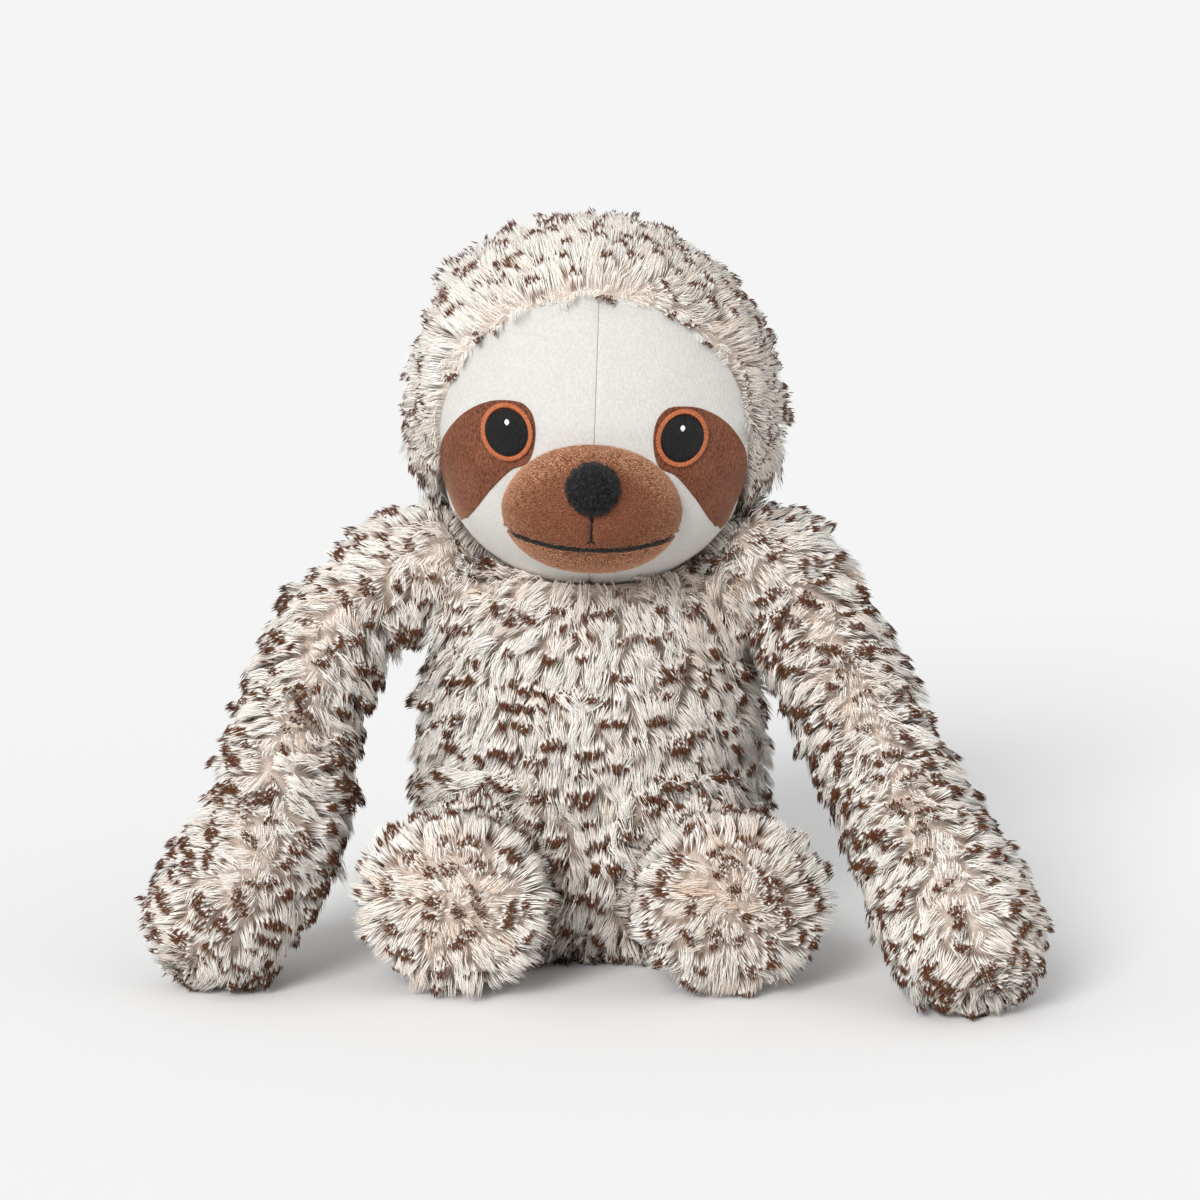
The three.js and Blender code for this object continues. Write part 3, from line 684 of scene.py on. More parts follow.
def growFur(
    cover, names, body, flow, keep, seed, look=pile, tan=None, shape=None, split=None, clear=None,
    finish="fur", pale=None,
):
    # flow gives each root's pile direction, keep says where pile grows, shape may change
    # a strand's length and lift, clear moves points out of another form, tan takes from the plain
    # tone, split shares the strands out among the names, and pale says how far up the colours of
    # a strand its root begins, so that less of its painted root shade shows
    rng = np.random.default_rng(seed)
    density = look["perSquareMm"] * 1.0
    roots, normals = scatter(cover, density, rng)
    grown = keep(roots, normals)
    roots, normals = roots[grown], normals[grown]
    count = len(roots)
    middles = roots[rng.permutation(count)[: int(count / density / look["lock"] ** 2)]]
    lock = nearest(roots, middles)
    path, main = combStrands(roots, normals, lock, middles, flow, shape, seed, look, rng)
    if clear:
        path = [path[0], clear(path[1]), clear(path[2])]
    for points in path:
        points[:, 2] = np.maximum(points[:, 2], floorGap)
    tones = toneStrands(roots, normals, path[2], main, lock, tan, seed, look, rng)
    spotted = tones > furColours["plainShare"]
    halfWidths = rng.uniform(*look["halfWidth"], count) * mm
    if "spotFull" in look:
        halfWidths[spotted] *= look["spotFull"]
        path[1][spotted] += (path[2] - path[1])[spotted] * look["spotBend"]
        for step in (1, 2):
            path[step][spotted] += (path[step] - path[0])[spotted] * (look["spotReach"] - 1)
            path[step][spotted] += normals[spotted] * look["spotRise"] * mm
    rolls = rng.uniform(0, 2 * math.pi, count)
    starts = pale(roots) * ~spotted if pale else np.zeros(count)
    groups = split(roots) if split else np.zeros(count, int)
    for number, name in enumerate(names):
        chosen = groups == number
        perStrand = [values[chosen] for values in (normals, halfWidths, tones, rolls, starts)]
        piece = strandMesh(name, [points[chosen] for points in path], *perStrand)
        finishPiece(piece, name, body, finish)
        print(" ", name, chosen.sum(), "strands")


# The head's own frame, and the form of the chin in it
headTurn = np.array(Matrix.Rotation(math.radians(places["headTilt"]), 3, "Y"))
chin = {
    "middle": np.array([0, -15, 12]) * mm, "half": np.array([54, 45, 42]) * mm,
    "underPanel": 3.5 * mm, "pileRoom": 1 * mm, "rootRoom": 2 * mm,
}


def toHead(points):
    return (points - places["neck"]) @ headTurn


def fromHead(points):
    return points @ headTurn.T + places["neck"]


def chinShare(points, room):
    # How far points lie from the chin's middle, where 1 is its surface with some room
    return np.linalg.norm((toHead(points) - chin["middle"]) / (chin["half"] + room), axis=1)


def offChin(points):
    # Points of the pile that lie in the chin are moved out to its surface
    share = chinShare(points, chin["pileRoom"])
    pushed = (toHead(points) - chin["middle"]) / np.maximum(share, 0.05)[:, None]
    return np.where((share < 1)[:, None], fromHead(pushed + chin["middle"]), points)


# Torso
print("torso")
torso = {
    "voxel": 3 * mm, "inset": 6.5 * mm, "halfWidth": 66 * mm, "seed": 11,
    "seatFade": (3 * mm, 10 * mm),  # off the seats of head and limbs, where the cover is drawn in
    "hipRoom": 2 * mm, "seatEdge": 6 * mm,  # round the seats
    "rim": (5 * mm, 14 * mm), "rimBack": (-10 * mm, 15 * mm),  # the seat's edge at the nape
    "ruff": (2 * mm, 16 * mm),  # off the neck's seat, where the pile stands up
    "underChin": {"front": (5 * mm, 30 * mm), "side": (26 * mm, 40 * mm), "height": (125 * mm, 145 * mm)},
    "shade": {"height": (118 * mm, 150 * mm), "front": (0, 20 * mm)},
}
torsoSeats = [(places["neck"], places["neckRadius"])]
for sign in sides.values():
    torsoSeats.append((places["shoulder"] * [sign, 1, 1], places["shoulderRadius"]))
    torsoSeats.append((places["hip"] * [sign, 1, 1], places["hipRadius"] + torso["hipRoom"]))
torsoCover = softForm(
    ["belly_panel", "back_panel", "seat_panel", "torso_stuffing", "pellet_bag"],
    torso["voxel"], torso["inset"], 6, lambda points: offSeats(points, torsoSeats, *torso["seatFade"]),
)
setPoints(torsoCover, offChin(pointsOf(torsoCover)))
torsoForm = (pointsOf(torsoCover), normalsOf(torsoCover))


def underTorso(points):
    # How far points lie under the torso's cover
    here = nearest(points, torsoForm[0])
    return ((torsoForm[0][here] - points) * torsoForm[1][here]).sum(1)


def offNeck(points):
    return distance(points, places["neck"]) - places["neckRadius"]


def napeRim(points):
    # The rim of the neck's seat at the back, where the pile is combed out over the edge
    return (1 - softstep(offNeck(points), *torso["rim"])) * softstep(points[:, 1], *torso["rimBack"])


def torsoFlow(points, normals):
    flow = points / torso["halfWidth"] * [0.42, 0.15, 0] - [0, 0, 1]
    below = softstep(-normals[:, 2], 0.55, 0.95)[:, None]
    outward = unit(points * [1, 1, 0])
    rim = napeRim(points)[:, None] * (1 - below)
    return flow * (1 - below) + outward * (below + 1.5 * rim)


def torsoKeep(points, normals):
    # Pile grows where the cover doesn't face into a seat
    free = np.ones(len(points), bool)
    for centre, radius in torsoSeats:
        off = points - centre
        far = np.linalg.norm(off, axis=1)
        inward = (normals * off).sum(1) / far < -0.5 - 0.3 * napeRim(points)
        free &= ~(inward & (far < radius + torso["seatEdge"]))
    return free & (chinShare(points, chin["rootRoom"]) >= 1)


def torsoRuff(points, normals):
    # Pile stands up round the neck, and lies short under the chin
    ruff = 1 - softstep(offNeck(points), *torso["ruff"])
    top = softstep(normals[:, 2], 0.2, 0.6)
    place = torso["underChin"]
    under = softstep(-points[:, 1], *place["front"]) * (1 - softstep(np.abs(points[:, 0]), *place["side"]))
    under = under * softstep(points[:, 2], *place["height"])
    return (1 + 0.15 * ruff) * (1 - 0.3 * under), (0.35 * ruff + 0.55 * top) * (1 - 0.5 * under)


def chestShade(points):
    place = torso["shade"]
    return 0.3 * softstep(points[:, 2], *place["height"]) * softstep(-points[:, 1], *place["front"])


growFur(
    torsoCover, ["belly_fur_left", "belly_fur_right", "back_fur_left", "back_fur_right"], "torso",
    torsoFlow, torsoKeep, torso["seed"], tan=chestShade, shape=torsoRuff, clear=offChin,
    split=lambda points: 2 * (points[:, 1] > 0) + (points[:, 0] < 0),
    pale=lambda points: 0.4 * napeRim(points),
)
finishCover(torsoCover, "torso_cover", "torso", ["belly_panel", "back_panel", "seat_panel"])


# Arms
print("arms")
arm = {
    "voxel": 2.6 * mm, "seed": 31,
    "steps": 60, "upperSteps": 30,  # of the arm's axis, and how many carry the upper piece of pile
    "seamWay": np.array([0, -1, 0.25]),  # the way that the seam down the arm faces
    "root": (54 * mm, 66 * mm),  # how far out the cover goes over into its drawn-in form
    "inner": (56 * mm, 70 * mm),  # how far out the pile goes over into its full length
    "hidden": 49 * mm,  # how far out the arm's root is hidden in its seat
    # share of the way to the paw, how far the cover lies under the CAD's surface, length of pile
    "thin": [(0, 6, 1), (0.3, 6.5, 1), (0.5, 8, 0.95), (0.7, 10, 0.88), (1, 10.5, 0.82)],
    "fillUnder": 6.6,  # mm from the CAD's surface to its stuffing, less room for the cover
    # share of the way down, and how far out the arm is pushed there, mm
    "sway": {
        "left": [(0, 0), (0.1, -2), (0.2, 1.5), (0.35, 1.5), (0.5, 0), (1, 0)],
        "right": [(0, 0), (0.1, 5), (0.25, 9), (0.45, 9.5), (0.6, 8), (0.75, 2), (0.9, -0.5), (1, 1)],
    },
    "reach": {"left": (64, 110, 107.5), "right": (64, 78, 107.5)},  # out, forward and down, mm
    # the axis, in shares of the way down, out and forward
    "wayShares": {
        "left": [
            (0, 0, 0), (0.1, 0.18, 0.04), (0.26, 0.29, 0.18),
            (0.46, 0.48, 0.4), (0.73, 0.73, 0.72), (1, 1, 1),
        ],
        "right": [
            (0, 0, 0), (0.1, 0.22, 0.04), (0.26, 0.35, 0.18),
            (0.46, 0.475, 0.4), (0.73, 0.65, 0.72), (1, 1, 1),
        ],
    },
    "pawDrop": 5 * mm,
}


def armAxis(side, sign):
    out, forward, down = (value * mm for value in arm["reach"][side])
    way = np.array(arm["wayShares"][side])
    knots = np.stack([sign * way[:, 1] * out, -way[:, 2] * forward, -way[:, 0] * down], 1)
    knots = knots + places["shoulder"] * [sign, 1, 1]
    knots = np.vstack([knots, knots[-1] + (knots[-1] - knots[-2]) * 0.4])
    numbers = np.arange(len(knots))
    steps = np.linspace(0, numbers[-1], arm["steps"])
    axis = np.stack([np.interp(steps, numbers, knots[:, i]) for i in range(3)], 1)
    for _ in range(6):
        axis[1:-1] = (axis[:-2] + 2 * axis[1:-1] + axis[2:]) / 4
    return axis


def sway(points, side, sign):
    down = (places["shoulder"][2] - points[:, 2]) / (arm["reach"][side][2] * mm)
    moved = points.copy()
    moved[:, 0] += sign * np.interp(down, *np.array(arm["sway"][side]).T) * mm
    moved[:, 2] -= arm["pawDrop"] * softstep(down, 0.7, 1.0)
    return moved


def armFur(side, sign, cover):
    axis = sway(armAxis(side, sign), side, sign)
    heading = unit(np.gradient(axis, axis=0))

    def onArm(points):
        # The nearest step of the axis, its heading, and the ways out to the cloth and to the seam
        here = nearest(points, axis)
        along = heading[here]
        out = points - axis[here]
        out = out - (out * along).sum(1, keepdims=True) * along
        seam = unit(arm["seamWay"] - (along @ arm["seamWay"])[:, None] * along)
        return here, along, out, seam

    def flow(points, normals):
        # Down the arm, and away from the seam to both sides
        here, along, out, seam = onArm(points)
        turn = np.arctan2((out * np.cross(along, seam)).sum(1), (out * seam).sum(1))
        turn = turn + 0.22 * wander(points, toneWander, arm["seed"])
        parting = np.clip(turn / 0.3, -1, 1) * (1 - 0.75 * softstep(np.abs(turn), 0.5, 2.6))
        around = unit(np.cross(along, out))
        end = np.clip(here / len(axis) - 0.8, 0, 1)[:, None] * 3
        return along * 0.85 + around * (0.75 * parting)[:, None] + unit(out) * end

    def keep(points, normals):
        off = distance(points, places["shoulder"] * [sign, 1, 1])
        return ~((off < places["shoulderRadius"] + 1 * mm) & (sign * points[:, 0] < arm["hidden"]))

    def part(points, normals):
        # The pile stands up along the seam down the front
        here, along, out, seam = onArm(points)
        ridge = softstep((out * seam).sum(1) / distance(points, axis[here]), 0.93, 1.0)
        inner = 1 - softstep(sign * points[:, 0], *arm["inner"])
        thin = np.array(arm["thin"])
        length = np.interp(here / len(axis), thin[:, 0], thin[:, 2])
        return length * (1 - 0.2 * ridge - 0.25 * inner), 0.5 * ridge + 0.2 * inner

    growFur(
        cover, [f"arm_{side}_fur_upper", f"arm_{side}_fur_lower"], f"arm_{side}", flow, keep,
        arm["seed"] + sign, limbPile, shape=part,
        split=lambda points: nearest(points, axis) > arm["upperSteps"],
    )


def makeArm(side, sign):
    nodes = [f"arm_{side}_outer", f"arm_{side}_inner", f"arm_{side}_stuffing"]
    axis = armAxis(side, sign)
    thin = np.array(arm["thin"])

    def drawnIn(points):
        # How far the cover lies under the CAD's surface, mm
        return np.interp(nearest(points, axis) / len(axis), thin[:, 0], thin[:, 1])

    def coverInset(points):
        return drawnIn(points) * softstep(sign * points[:, 0], *arm["root"])

    def fillInset(points):
        return np.maximum(drawnIn(points) - arm["fillUnder"], 0)

    cover = softForm(nodes, arm["voxel"], mm, 5, coverInset)
    setPoints(cover, sway(pointsOf(cover), side, sign))
    armFur(side, sign, cover)
    filling = softForm([nodes[2]], 3 * mm, mm, 4, fillInset)
    setPoints(filling, sway(pointsOf(filling), side, sign))
    finishPiece(filling, f"arm_{side}_fill", f"arm_{side}", "fibre", [nodes[2]])
    finishCover(cover, f"arm_{side}_cover", f"arm_{side}", nodes[:2])


for side, sign in sides.items():
    makeArm(side, sign)


# Legs
print("legs")
leg = {
    "voxel": 2.6 * mm, "inset": 8 * mm, "seed": 51, "sole": np.array([53, -104, 33.5]) * mm,
    "root": (46 * mm, 60 * mm),  # how far forward the cover goes over into its drawn-in form
    "soleFrom": 45 * mm, "soleEdge": 26 * mm,  # along the leg, and off its middle
    "ruffled": 6 * mm, "dusky": 8 * mm,  # off the sole's middle, where the pile is fully so
    "rootUnder": 5 * mm,  # how far under the torso's cover pile still grows
}


def legFur(side, sign, cover):
    hip = places["hip"] * [sign, 1, 1]
    heading = unit(leg["sole"] * [sign, 1, 1] - hip)

    def flow(points, normals):
        out = points - hip
        return unit(out - (out @ heading)[:, None] * heading) - 0.55 * heading

    def keep(points, normals):
        return underTorso(points) < leg["rootUnder"]

    def soleMiddle(points, full):
        # 1 in the middle of the sole, as far as full says
        out = points - hip
        along = out @ heading
        off = np.linalg.norm(out - along[:, None] * heading, axis=1)
        return (1 - softstep(off, full, leg["soleEdge"])) * (along > leg["soleFrom"])

    def ruffle(points, normals):
        middle = soleMiddle(points, leg["ruffled"])
        return 0.86 - 0.3 * middle, 0.8 * middle

    growFur(
        cover, [f"leg_{side}_fur"], f"leg_{side}", flow, keep, leg["seed"] + sign, limbPile,
        tan=lambda points: 0.14 * soleMiddle(points, leg["dusky"]), shape=ruffle,
    )


def legInset(points):
    return softstep(-points[:, 1], *leg["root"])


for side, sign in sides.items():
    nodes = [f"leg_{side}_skin", f"foot_{side}_sole", f"leg_{side}_stuffing"]
    cover = softForm(nodes, leg["voxel"], leg["inset"], 5, legInset)
    legFur(side, sign, cover)
    finishCover(cover, f"leg_{side}_cover", f"leg_{side}", nodes[:2])


# Head
print("head")
head = {
    "voxel": 2.6 * mm, "outset": 1.85 * mm, "seed": 71,
    "neckOutset": 3.4, "neckFade": (138 * mm, 152 * mm), "nape": (8 * mm, 30 * mm),
    "seatTop": -22 * mm,  # below it the neck's seat hides the pile
    "tuft": (22, 11), "tuftFrom": 50 * mm,  # middle and width in mm, and foot, of a tuft over the face
    "crown": (40 * mm, 90 * mm), "low": (-12 * mm, 12 * mm),  # heights between which the pile changes
    "lean": 50 * mm, "fringeWander": 20 * mm,
    "hem": 10 * mm, "hemReach": 12 * mm, "hemSide": (35 * mm, 55 * mm), "hemFront": (-35 * mm, -10 * mm),
    "behind": (-15 * mm, 30 * mm),  # where the pile's way changes from the front's to the back's
    "pale": 0.42,  # how far up their colours strands begin at the edge of the face, leaving out their painted root shade
    "faceMiddle": np.array([0, 0, 26]) * mm, "faceHalf": (56 * mm, 52.8 * mm),
    "size": (71, 68, 128, -23),  # half width, front, height and foot, mm
    # height, half width and front as shares of the above
    "shares": [
        (0, 0, 0), (0.02, 0.28, 0.62), (0.06, 0.44, 0.8), (0.13, 0.62, 0.91),
        (0.2, 0.83, 0.96), (0.3, 0.97, 1), (0.44, 1, 1), (0.6, 0.95, 0.93),
        (0.76, 0.83, 0.8), (0.89, 0.61, 0.58), (0.97, 0.33, 0.31), (1, 0, 0),
    ],
}
chinForm, chinBall = ball(64, 40)
setPoints(chinForm, fromHead(chin["middle"] + chinBall * (chin["half"] - chin["underPanel"])))


def headOutset(points):
    # The hood is fuller low down at the nape
    low = 1 - softstep(points[:, 2], *head["neckFade"])
    return 1 + head["neckOutset"] * low * (1 - softstep(-points[:, 1], *head["nape"]))


headCover = softForm(["head_stuffing"], head["voxel"], -head["outset"], 5, headOutset, [chinForm])


def faceOff(local):
    # 1 on the edge of the face opening, less inside it
    across = local[:, 0] / head["faceHalf"][0]
    up = (local[:, 2] - head["faceMiddle"][2]) / head["faceHalf"][1]
    return np.where(local[:, 1] < 0.0, np.hypot(across, up), 9.0)


def foreheadTuft(local):
    # Where the pile hangs over the upper edge of the face
    middle, width = head["tuft"]
    across = np.exp(-(((local[:, 0] / mm - middle) / width) ** 2))
    return across * (1 - softstep(faceOff(local), 1.02, 1.1)) * (local[:, 2] > head["tuftFrom"])


def hoodHem(local):
    # The sides of the hood low down, where the pile hangs to the shoulders
    height = np.exp(-(((local[:, 2] - head["hem"]) / head["hemReach"]) ** 2))
    height = height * softstep(np.abs(local[:, 0]), *head["hemSide"])
    return height * softstep(local[:, 1], *head["hemFront"])


def headFlow(points, normals):
    local = toHead(points)
    radial = unit((local - head["faceMiddle"]) * [1, 0, 1])
    behind = softstep(local[:, 1], *head["behind"])[:, None]
    inward = (1 - softstep(faceOff(local), 0.975, 1.03))[:, None]
    front = radial * (1 - 2 * inward) + [0, 0.55, -0.3] * (1 - inward)
    back = np.array([0, 0.8, -1.0]) + 0.25 * radial
    flow = front * (1 - behind) + back * behind
    hem = hoodHem(local)[:, None]
    flow = flow * (1 - hem) + hem * [0, 0.15, -1]
    droop = foreheadTuft(local)[:, None]
    return (flow * (1 - droop) + droop * [0.25, -0.1, -1]) @ headTurn.T


def headKeep(points, normals):
    local = toHead(points)
    hidden = (offNeck(points) < 1 * mm) & (local[:, 2] < head["seatTop"])
    jaw = softstep(head["faceMiddle"][2] - local[:, 2], 0, head["faceMiddle"][2])
    return ~hidden & (faceOff(local) > 0.97 + 0.05 * jaw)


def faceFringe(points, normals):
    # The pile stands up at the edge of the face, and leans over it
    local = toHead(points)
    edge = 1 - softstep(faceOff(local), 0.98, 1.12)
    low = 1 - softstep(local[:, 2], *head["low"])
    lean = 0.25 * softstep(local[:, 2], *head["crown"]) * np.clip(local[:, 0] / head["lean"], -1, 1)
    hem = hoodHem(local)
    length = 0.88 - 0.32 * edge + 0.2 * low - lean
    lift = (0.35 + 0.5 * wander(points, head["fringeWander"], head["seed"])) * edge + 0.2 * low
    return length + (1.15 - length) * hem, lift + (0.3 - lift) * hem


def fringePale(points):
    return head["pale"] * (1 - softstep(faceOff(toHead(points)), 1.03, 1.3))


growFur(
    headCover, ["hood_fur_left", "hood_fur_right"], "head", headFlow, headKeep, head["seed"], headPile,
    shape=faceFringe, split=lambda points: points[:, 0] < 0, pale=fringePale,
)
finishCover(headCover, "hood_cover", "head", ["hood_left", "hood_right"])


# Face
print("face")
face = {
    "jaw": 2.6,  # 2 would be an oval
    "jawDrop": 1.055,
    "inset": 5.5, "chinInset": 1.0, "panelThick": 2.0 * mm, "patchThick": 1.3 * mm,
    "chinFade": (-20, 25),  # heights between which the inset grows to its full size, mm
    "edgeGap": 0.3, "seamGap": 0.03,  # mm from the hood's opening and from the centre seam
    "panelMiddle": (26, 26), "ovalSteps": 61, "seamSteps": 41, "panelSteps": 144,
    "eye": (31.2, 30), "eyeTilt": 12, "ring": (9.5, 10.5), "ringWidth": 1.9,
    "glint": (0.7, 1.2, 3.6),  # half width, half height, and how far above the eye's middle
    # half width in mm, height and lift of each stitch
    "rimThread": (0.38, 0.55 * mm, 1.5 * mm), "rimStitches": 96, "rimSlant": 0.12, "rimJitter": 0.2,
    "pupilThread": (0.34, 0.42 * mm, 1.35 * mm), "pupilRows": 40, "pupilJitter": 0.12,
    "pupilOver": 0.15, "pupilLap": 1.1, "pupilCut": 0.6,  # over the ring, over each other, and where
    "glintThread": (0.3, 0.4 * mm, 1.95 * mm), "glintRows": 6,
    "patchHalf": (18.2, 24.6), "patchMiddle": (6.6, -12.8), "patchHub": (8.0, -6.5), "patchSteps": 96,
    "patchLift": 0.6 * mm,
    "patchShares": [
        (-0.46, 0.97), (0, 0.93), (0.47, 0.74), (0.82, 0.43), (0.97, 0.13), (0.94, -0.35), (0.74, -0.74),
        (0.52, -0.96), (0.29, -0.78), (-0.06, -0.39), (-0.46, -0.04), (-0.8, 0.1), (-0.93, 0.43),
        (-0.89, 0.74), (-0.72, 0.92),
    ],
}


def smoothShares(column):
    # A column of the head's shares at even heights, with its corners rounded
    shares = np.array(head["shares"])
    dense = np.linspace(0, 1, 200)
    kernel = np.hanning(13)[1:-1]
    line = np.pad(np.interp(dense, shares[:, 0], shares[:, column]), 5, mode="edge")
    return dense, np.convolve(line, kernel / kernel.sum(), mode="valid")


def faceDepth(across, up):
    # How far forward of the neck's middle the face lies, in the head's own frame, metres
    halfWidth, front, height, foot = head["size"]
    inset = face["chinInset"] + (face["inset"] - face["chinInset"]) * softstep(up / mm, *face["chinFade"])
    rise = (up / mm - foot - inset) / (height - 2 * inset)
    wide = np.interp(rise, *smoothShares(1)) * (halfWidth - inset) * mm
    deep = np.interp(rise, *smoothShares(2)) * (front - inset) * mm
    off = np.clip(np.abs(across) / wide, 0, 0.995)
    chinX, chinY, chinZ = chin["half"]
    low = 1 - (across / chinX) ** 2 - ((up - chin["middle"][2]) / chinZ) ** 2
    chinDepth = chinY * np.sqrt(np.maximum(low, 0)) - chin["middle"][1]
    return np.maximum(deep * np.sqrt(1 - off * off), chinDepth)


def onFace(piece, flat, height):
    # Lays a piece's points on the face, across and up in metres, and their height off it
    forward = faceDepth(flat[:, 0], flat[:, 1]) + height
    setPoints(piece, fromHead(np.stack([flat[:, 0], -forward, flat[:, 1]], 1)))


def evenSteps(line, count):
    # Points in even steps along a closed line
    closed = np.vstack([line, line[:1]])
    run = np.concatenate([[0], np.cumsum(np.linalg.norm(np.diff(closed, axis=0), axis=1))])
    even = np.linspace(0, run[-1], count, endpoint=False)
    return np.stack([np.interp(even, run, closed[:, i]) for i in range(2)], 1)


def smoothOutline(points, count):
    # A closed smooth line through the given points, in even steps
    knots = np.array(points, float)
    total = len(knots)
    way = np.linspace(0, total, 12 * total, endpoint=False)
    k = way.astype(int)
    t = (way - k)[:, None]
    a, b, c, d = (knots[(k + i) % total] for i in (-1, 0, 1, 2))
    squared, cubed = 2 * a - 5 * b + 4 * c - d, 3 * b - a - 3 * c + d
    return evenSteps(0.5 * (2 * b + (c - a) * t + squared * t**2 + cubed * t**3), count)


def outwards(piece):
    # Turns all faces outwards
    with editing(piece):
        bpy.ops.mesh.normals_make_consistent(inside=False)
    return piece


def faceCushion(outline, middle, lift, thick, rings, edge):
    # A closed pad on the face: a ball's front half becomes its front and its back half the
    # back. outline and middle are across and up in mm, lift is the front's height off the face.
    count = len(outline)
    piece, points = ball(count, 2 * rings, True)
    share = np.clip(np.hypot(points[:, 0], points[:, 2]), 0, 1)
    share = np.where(share > 1e-6, share, 0)
    turn = np.arctan2(points[:, 2], points[:, 0])
    number = np.round(turn / (2 * math.pi) * count).astype(int) % count
    rim = np.array(outline)[number] - np.array(middle)
    flat = (np.array(middle) + rim * share[:, None]) * mm
    crown = np.abs(points[:, 1]) ** edge * np.where(points[:, 1] < 0, -1, 1)
    onFace(piece, flat, lift - thick * 0.5 * (1 + crown))
    return outwards(piece)


def halfOval(sign):
    wide, tall = (value / mm - face["edgeGap"] for value in head["faceHalf"])
    middle = head["faceMiddle"][2] / mm
    jaw = face["jaw"]
    line = []
    for t in np.radians(np.linspace(-90, 90, face["ovalSteps"])):
        reach = (math.cos(t) ** jaw + abs(math.sin(t)) ** jaw) ** (-1 / jaw) if t < 0 else 1
        drop = face["jawDrop"] if t < 0 else 1
        across, up = wide * reach * math.cos(t), tall * reach * drop * math.sin(t)
        line.append((face["seamGap"] + across, middle + up))
    for s in np.linspace(1, -face["jawDrop"], face["seamSteps"])[1:-1]:
        line.append((face["seamGap"], middle + tall * s))
    line = evenSteps(np.array(line), face["panelSteps"]) * [sign, 1]
    return line if sign > 0 else line[::-1]


def byTurn(outline, middle):
    # The outline's points at even turns round its middle, as the ball's meridians lie
    off = np.array(outline) - np.array(middle)
    turn = np.arctan2(off[:, 1], off[:, 0]) % (2 * math.pi)
    order = np.argsort(turn)
    even = np.linspace(0, 2 * math.pi, len(off), endpoint=False)
    reach = np.interp(even, turn[order], np.hypot(off[order, 0], off[order, 1]), period=2 * math.pi)
    return np.stack([reach * np.cos(even), reach * np.sin(even)], 1) + np.array(middle)


for side, sign in sides.items():
    middle = np.array(face["panelMiddle"]) * [sign, 1]
    panel = faceCushion(byTurn(halfOval(sign), middle), middle, 0, face["panelThick"], rings=22, edge=0.2)
    finishPiece(panel, f"face_plush_{side}", "head", "white", [f"face_{side}"])

    eye = np.array(face["eye"]) * [sign, 1]
    outline = smoothOutline(face["patchShares"], face["patchSteps"])
    outline = (outline * face["patchHalf"] + face["patchMiddle"]) * [sign, 1] + eye
    middle = eye + np.array(face["patchHub"]) * [sign, 1]
    outline = byTurn(outline, middle)
    patch = faceCushion(outline, middle, face["patchLift"], face["patchThick"], rings=14, edge=0.25)
    finishPiece(patch, f"eye_plush_{side}", "head", "brown", [f"eye_patch_{side}"])


def stitch(start, end, halfWidth, rise, lift):
    # One satin stitch between two places on the face, in mm
    piece, points = ball(8, 10)
    start, end = np.array(start), np.array(end)
    along = (end - start) / 2
    side = np.array([-along[1], along[0]]) / np.linalg.norm(along) * halfWidth
    flat = (start + end) / 2 + points[:, 2:3] * along + points[:, 0:1] * side * (1 - points[:, 2:3] ** 8)
    onFace(piece, flat * mm, lift - points[:, 1] * rise)
    return piece


def finishThread(stitches, name, colour, node):
    onlySelect(*stitches)
    bpy.ops.object.join()
    thread = outwards(bpy.context.object)
    finishPiece(thread, name, "head", f"{colour}Thread", [node])


def inEye(sign, x, z):
    # A place in the eye, which leans in towards the nose at its top
    lean = -sign * math.radians(face["eyeTilt"])
    turnedX = x * math.cos(lean) - z * math.sin(lean)
    turnedZ = x * math.sin(lean) + z * math.cos(lean)
    return sign * face["eye"][0] + turnedX, face["eye"][1] + turnedZ


eyeRng = np.random.default_rng(91)


def eyeRim(sign):
    # Satin stitches across the ring, each slanted a little
    outer = np.array(face["ring"])
    inner = outer - face["ringWidth"]
    total = face["rimStitches"]
    stitches = []
    for k in range(total):
        turn = 2 * math.pi * (k + eyeRng.uniform(-face["rimJitter"], face["rimJitter"])) / total
        ends = []
        for (halfX, halfZ), angle in ((inner, turn + face["rimSlant"]), (outer, turn)):
            ends.append(inEye(sign, halfX * math.cos(angle), halfZ * math.sin(angle)))
        stitches.append(stitch(*ends, *face["rimThread"]))
    return stitches


def eyeRow(k, rows, halfX, halfZ):
    # The place of a row of stitches in an oval, and half its length
    x = halfX * (2 * (k + 0.5) / rows - 1)
    return x, halfZ * math.sqrt(1 - (x / halfX) ** 2)


def pupil(sign):
    # Rows of two stitches that overlap at a place of their own
    halfX, halfZ = np.array(face["ring"]) - face["ringWidth"] + face["pupilOver"]
    most, lap = face["pupilJitter"], face["pupilLap"]
    stitches = []
    for k in range(face["pupilRows"]):
        x, reach = eyeRow(k, face["pupilRows"], halfX, halfZ)
        cut = eyeRng.uniform(-face["pupilCut"], face["pupilCut"]) * reach
        for low, high in ((-reach, cut + lap), (cut - lap, reach)):
            jitter = eyeRng.uniform(-most, most)
            ends = inEye(sign, x, max(low, -reach)), inEye(sign, x + jitter, min(high, reach))
            stitches.append(stitch(*ends, *face["pupilThread"]))
    return stitches


def glint(sign):
    halfX, halfZ, rise = face["glint"]
    middle = np.array(face["eye"]) * [sign, 1] + [0, rise]
    stitches = []
    for k in range(face["glintRows"]):
        x, reach = eyeRow(k, face["glintRows"], halfX, halfZ)
        stitches.append(stitch(middle + [x, -reach], middle + [x, reach], *face["glintThread"]))
    return stitches


for side, sign in sides.items():
    finishThread(eyeRim(sign), f"eye_rim_{side}", "rust", f"eye_ring_{side}")
    finishThread(pupil(sign), f"pupil_thread_{side}", "black", f"pupil_{side}")
    finishThread(glint(sign), f"glint_thread_{side}", "white", f"eye_glint_{side}")


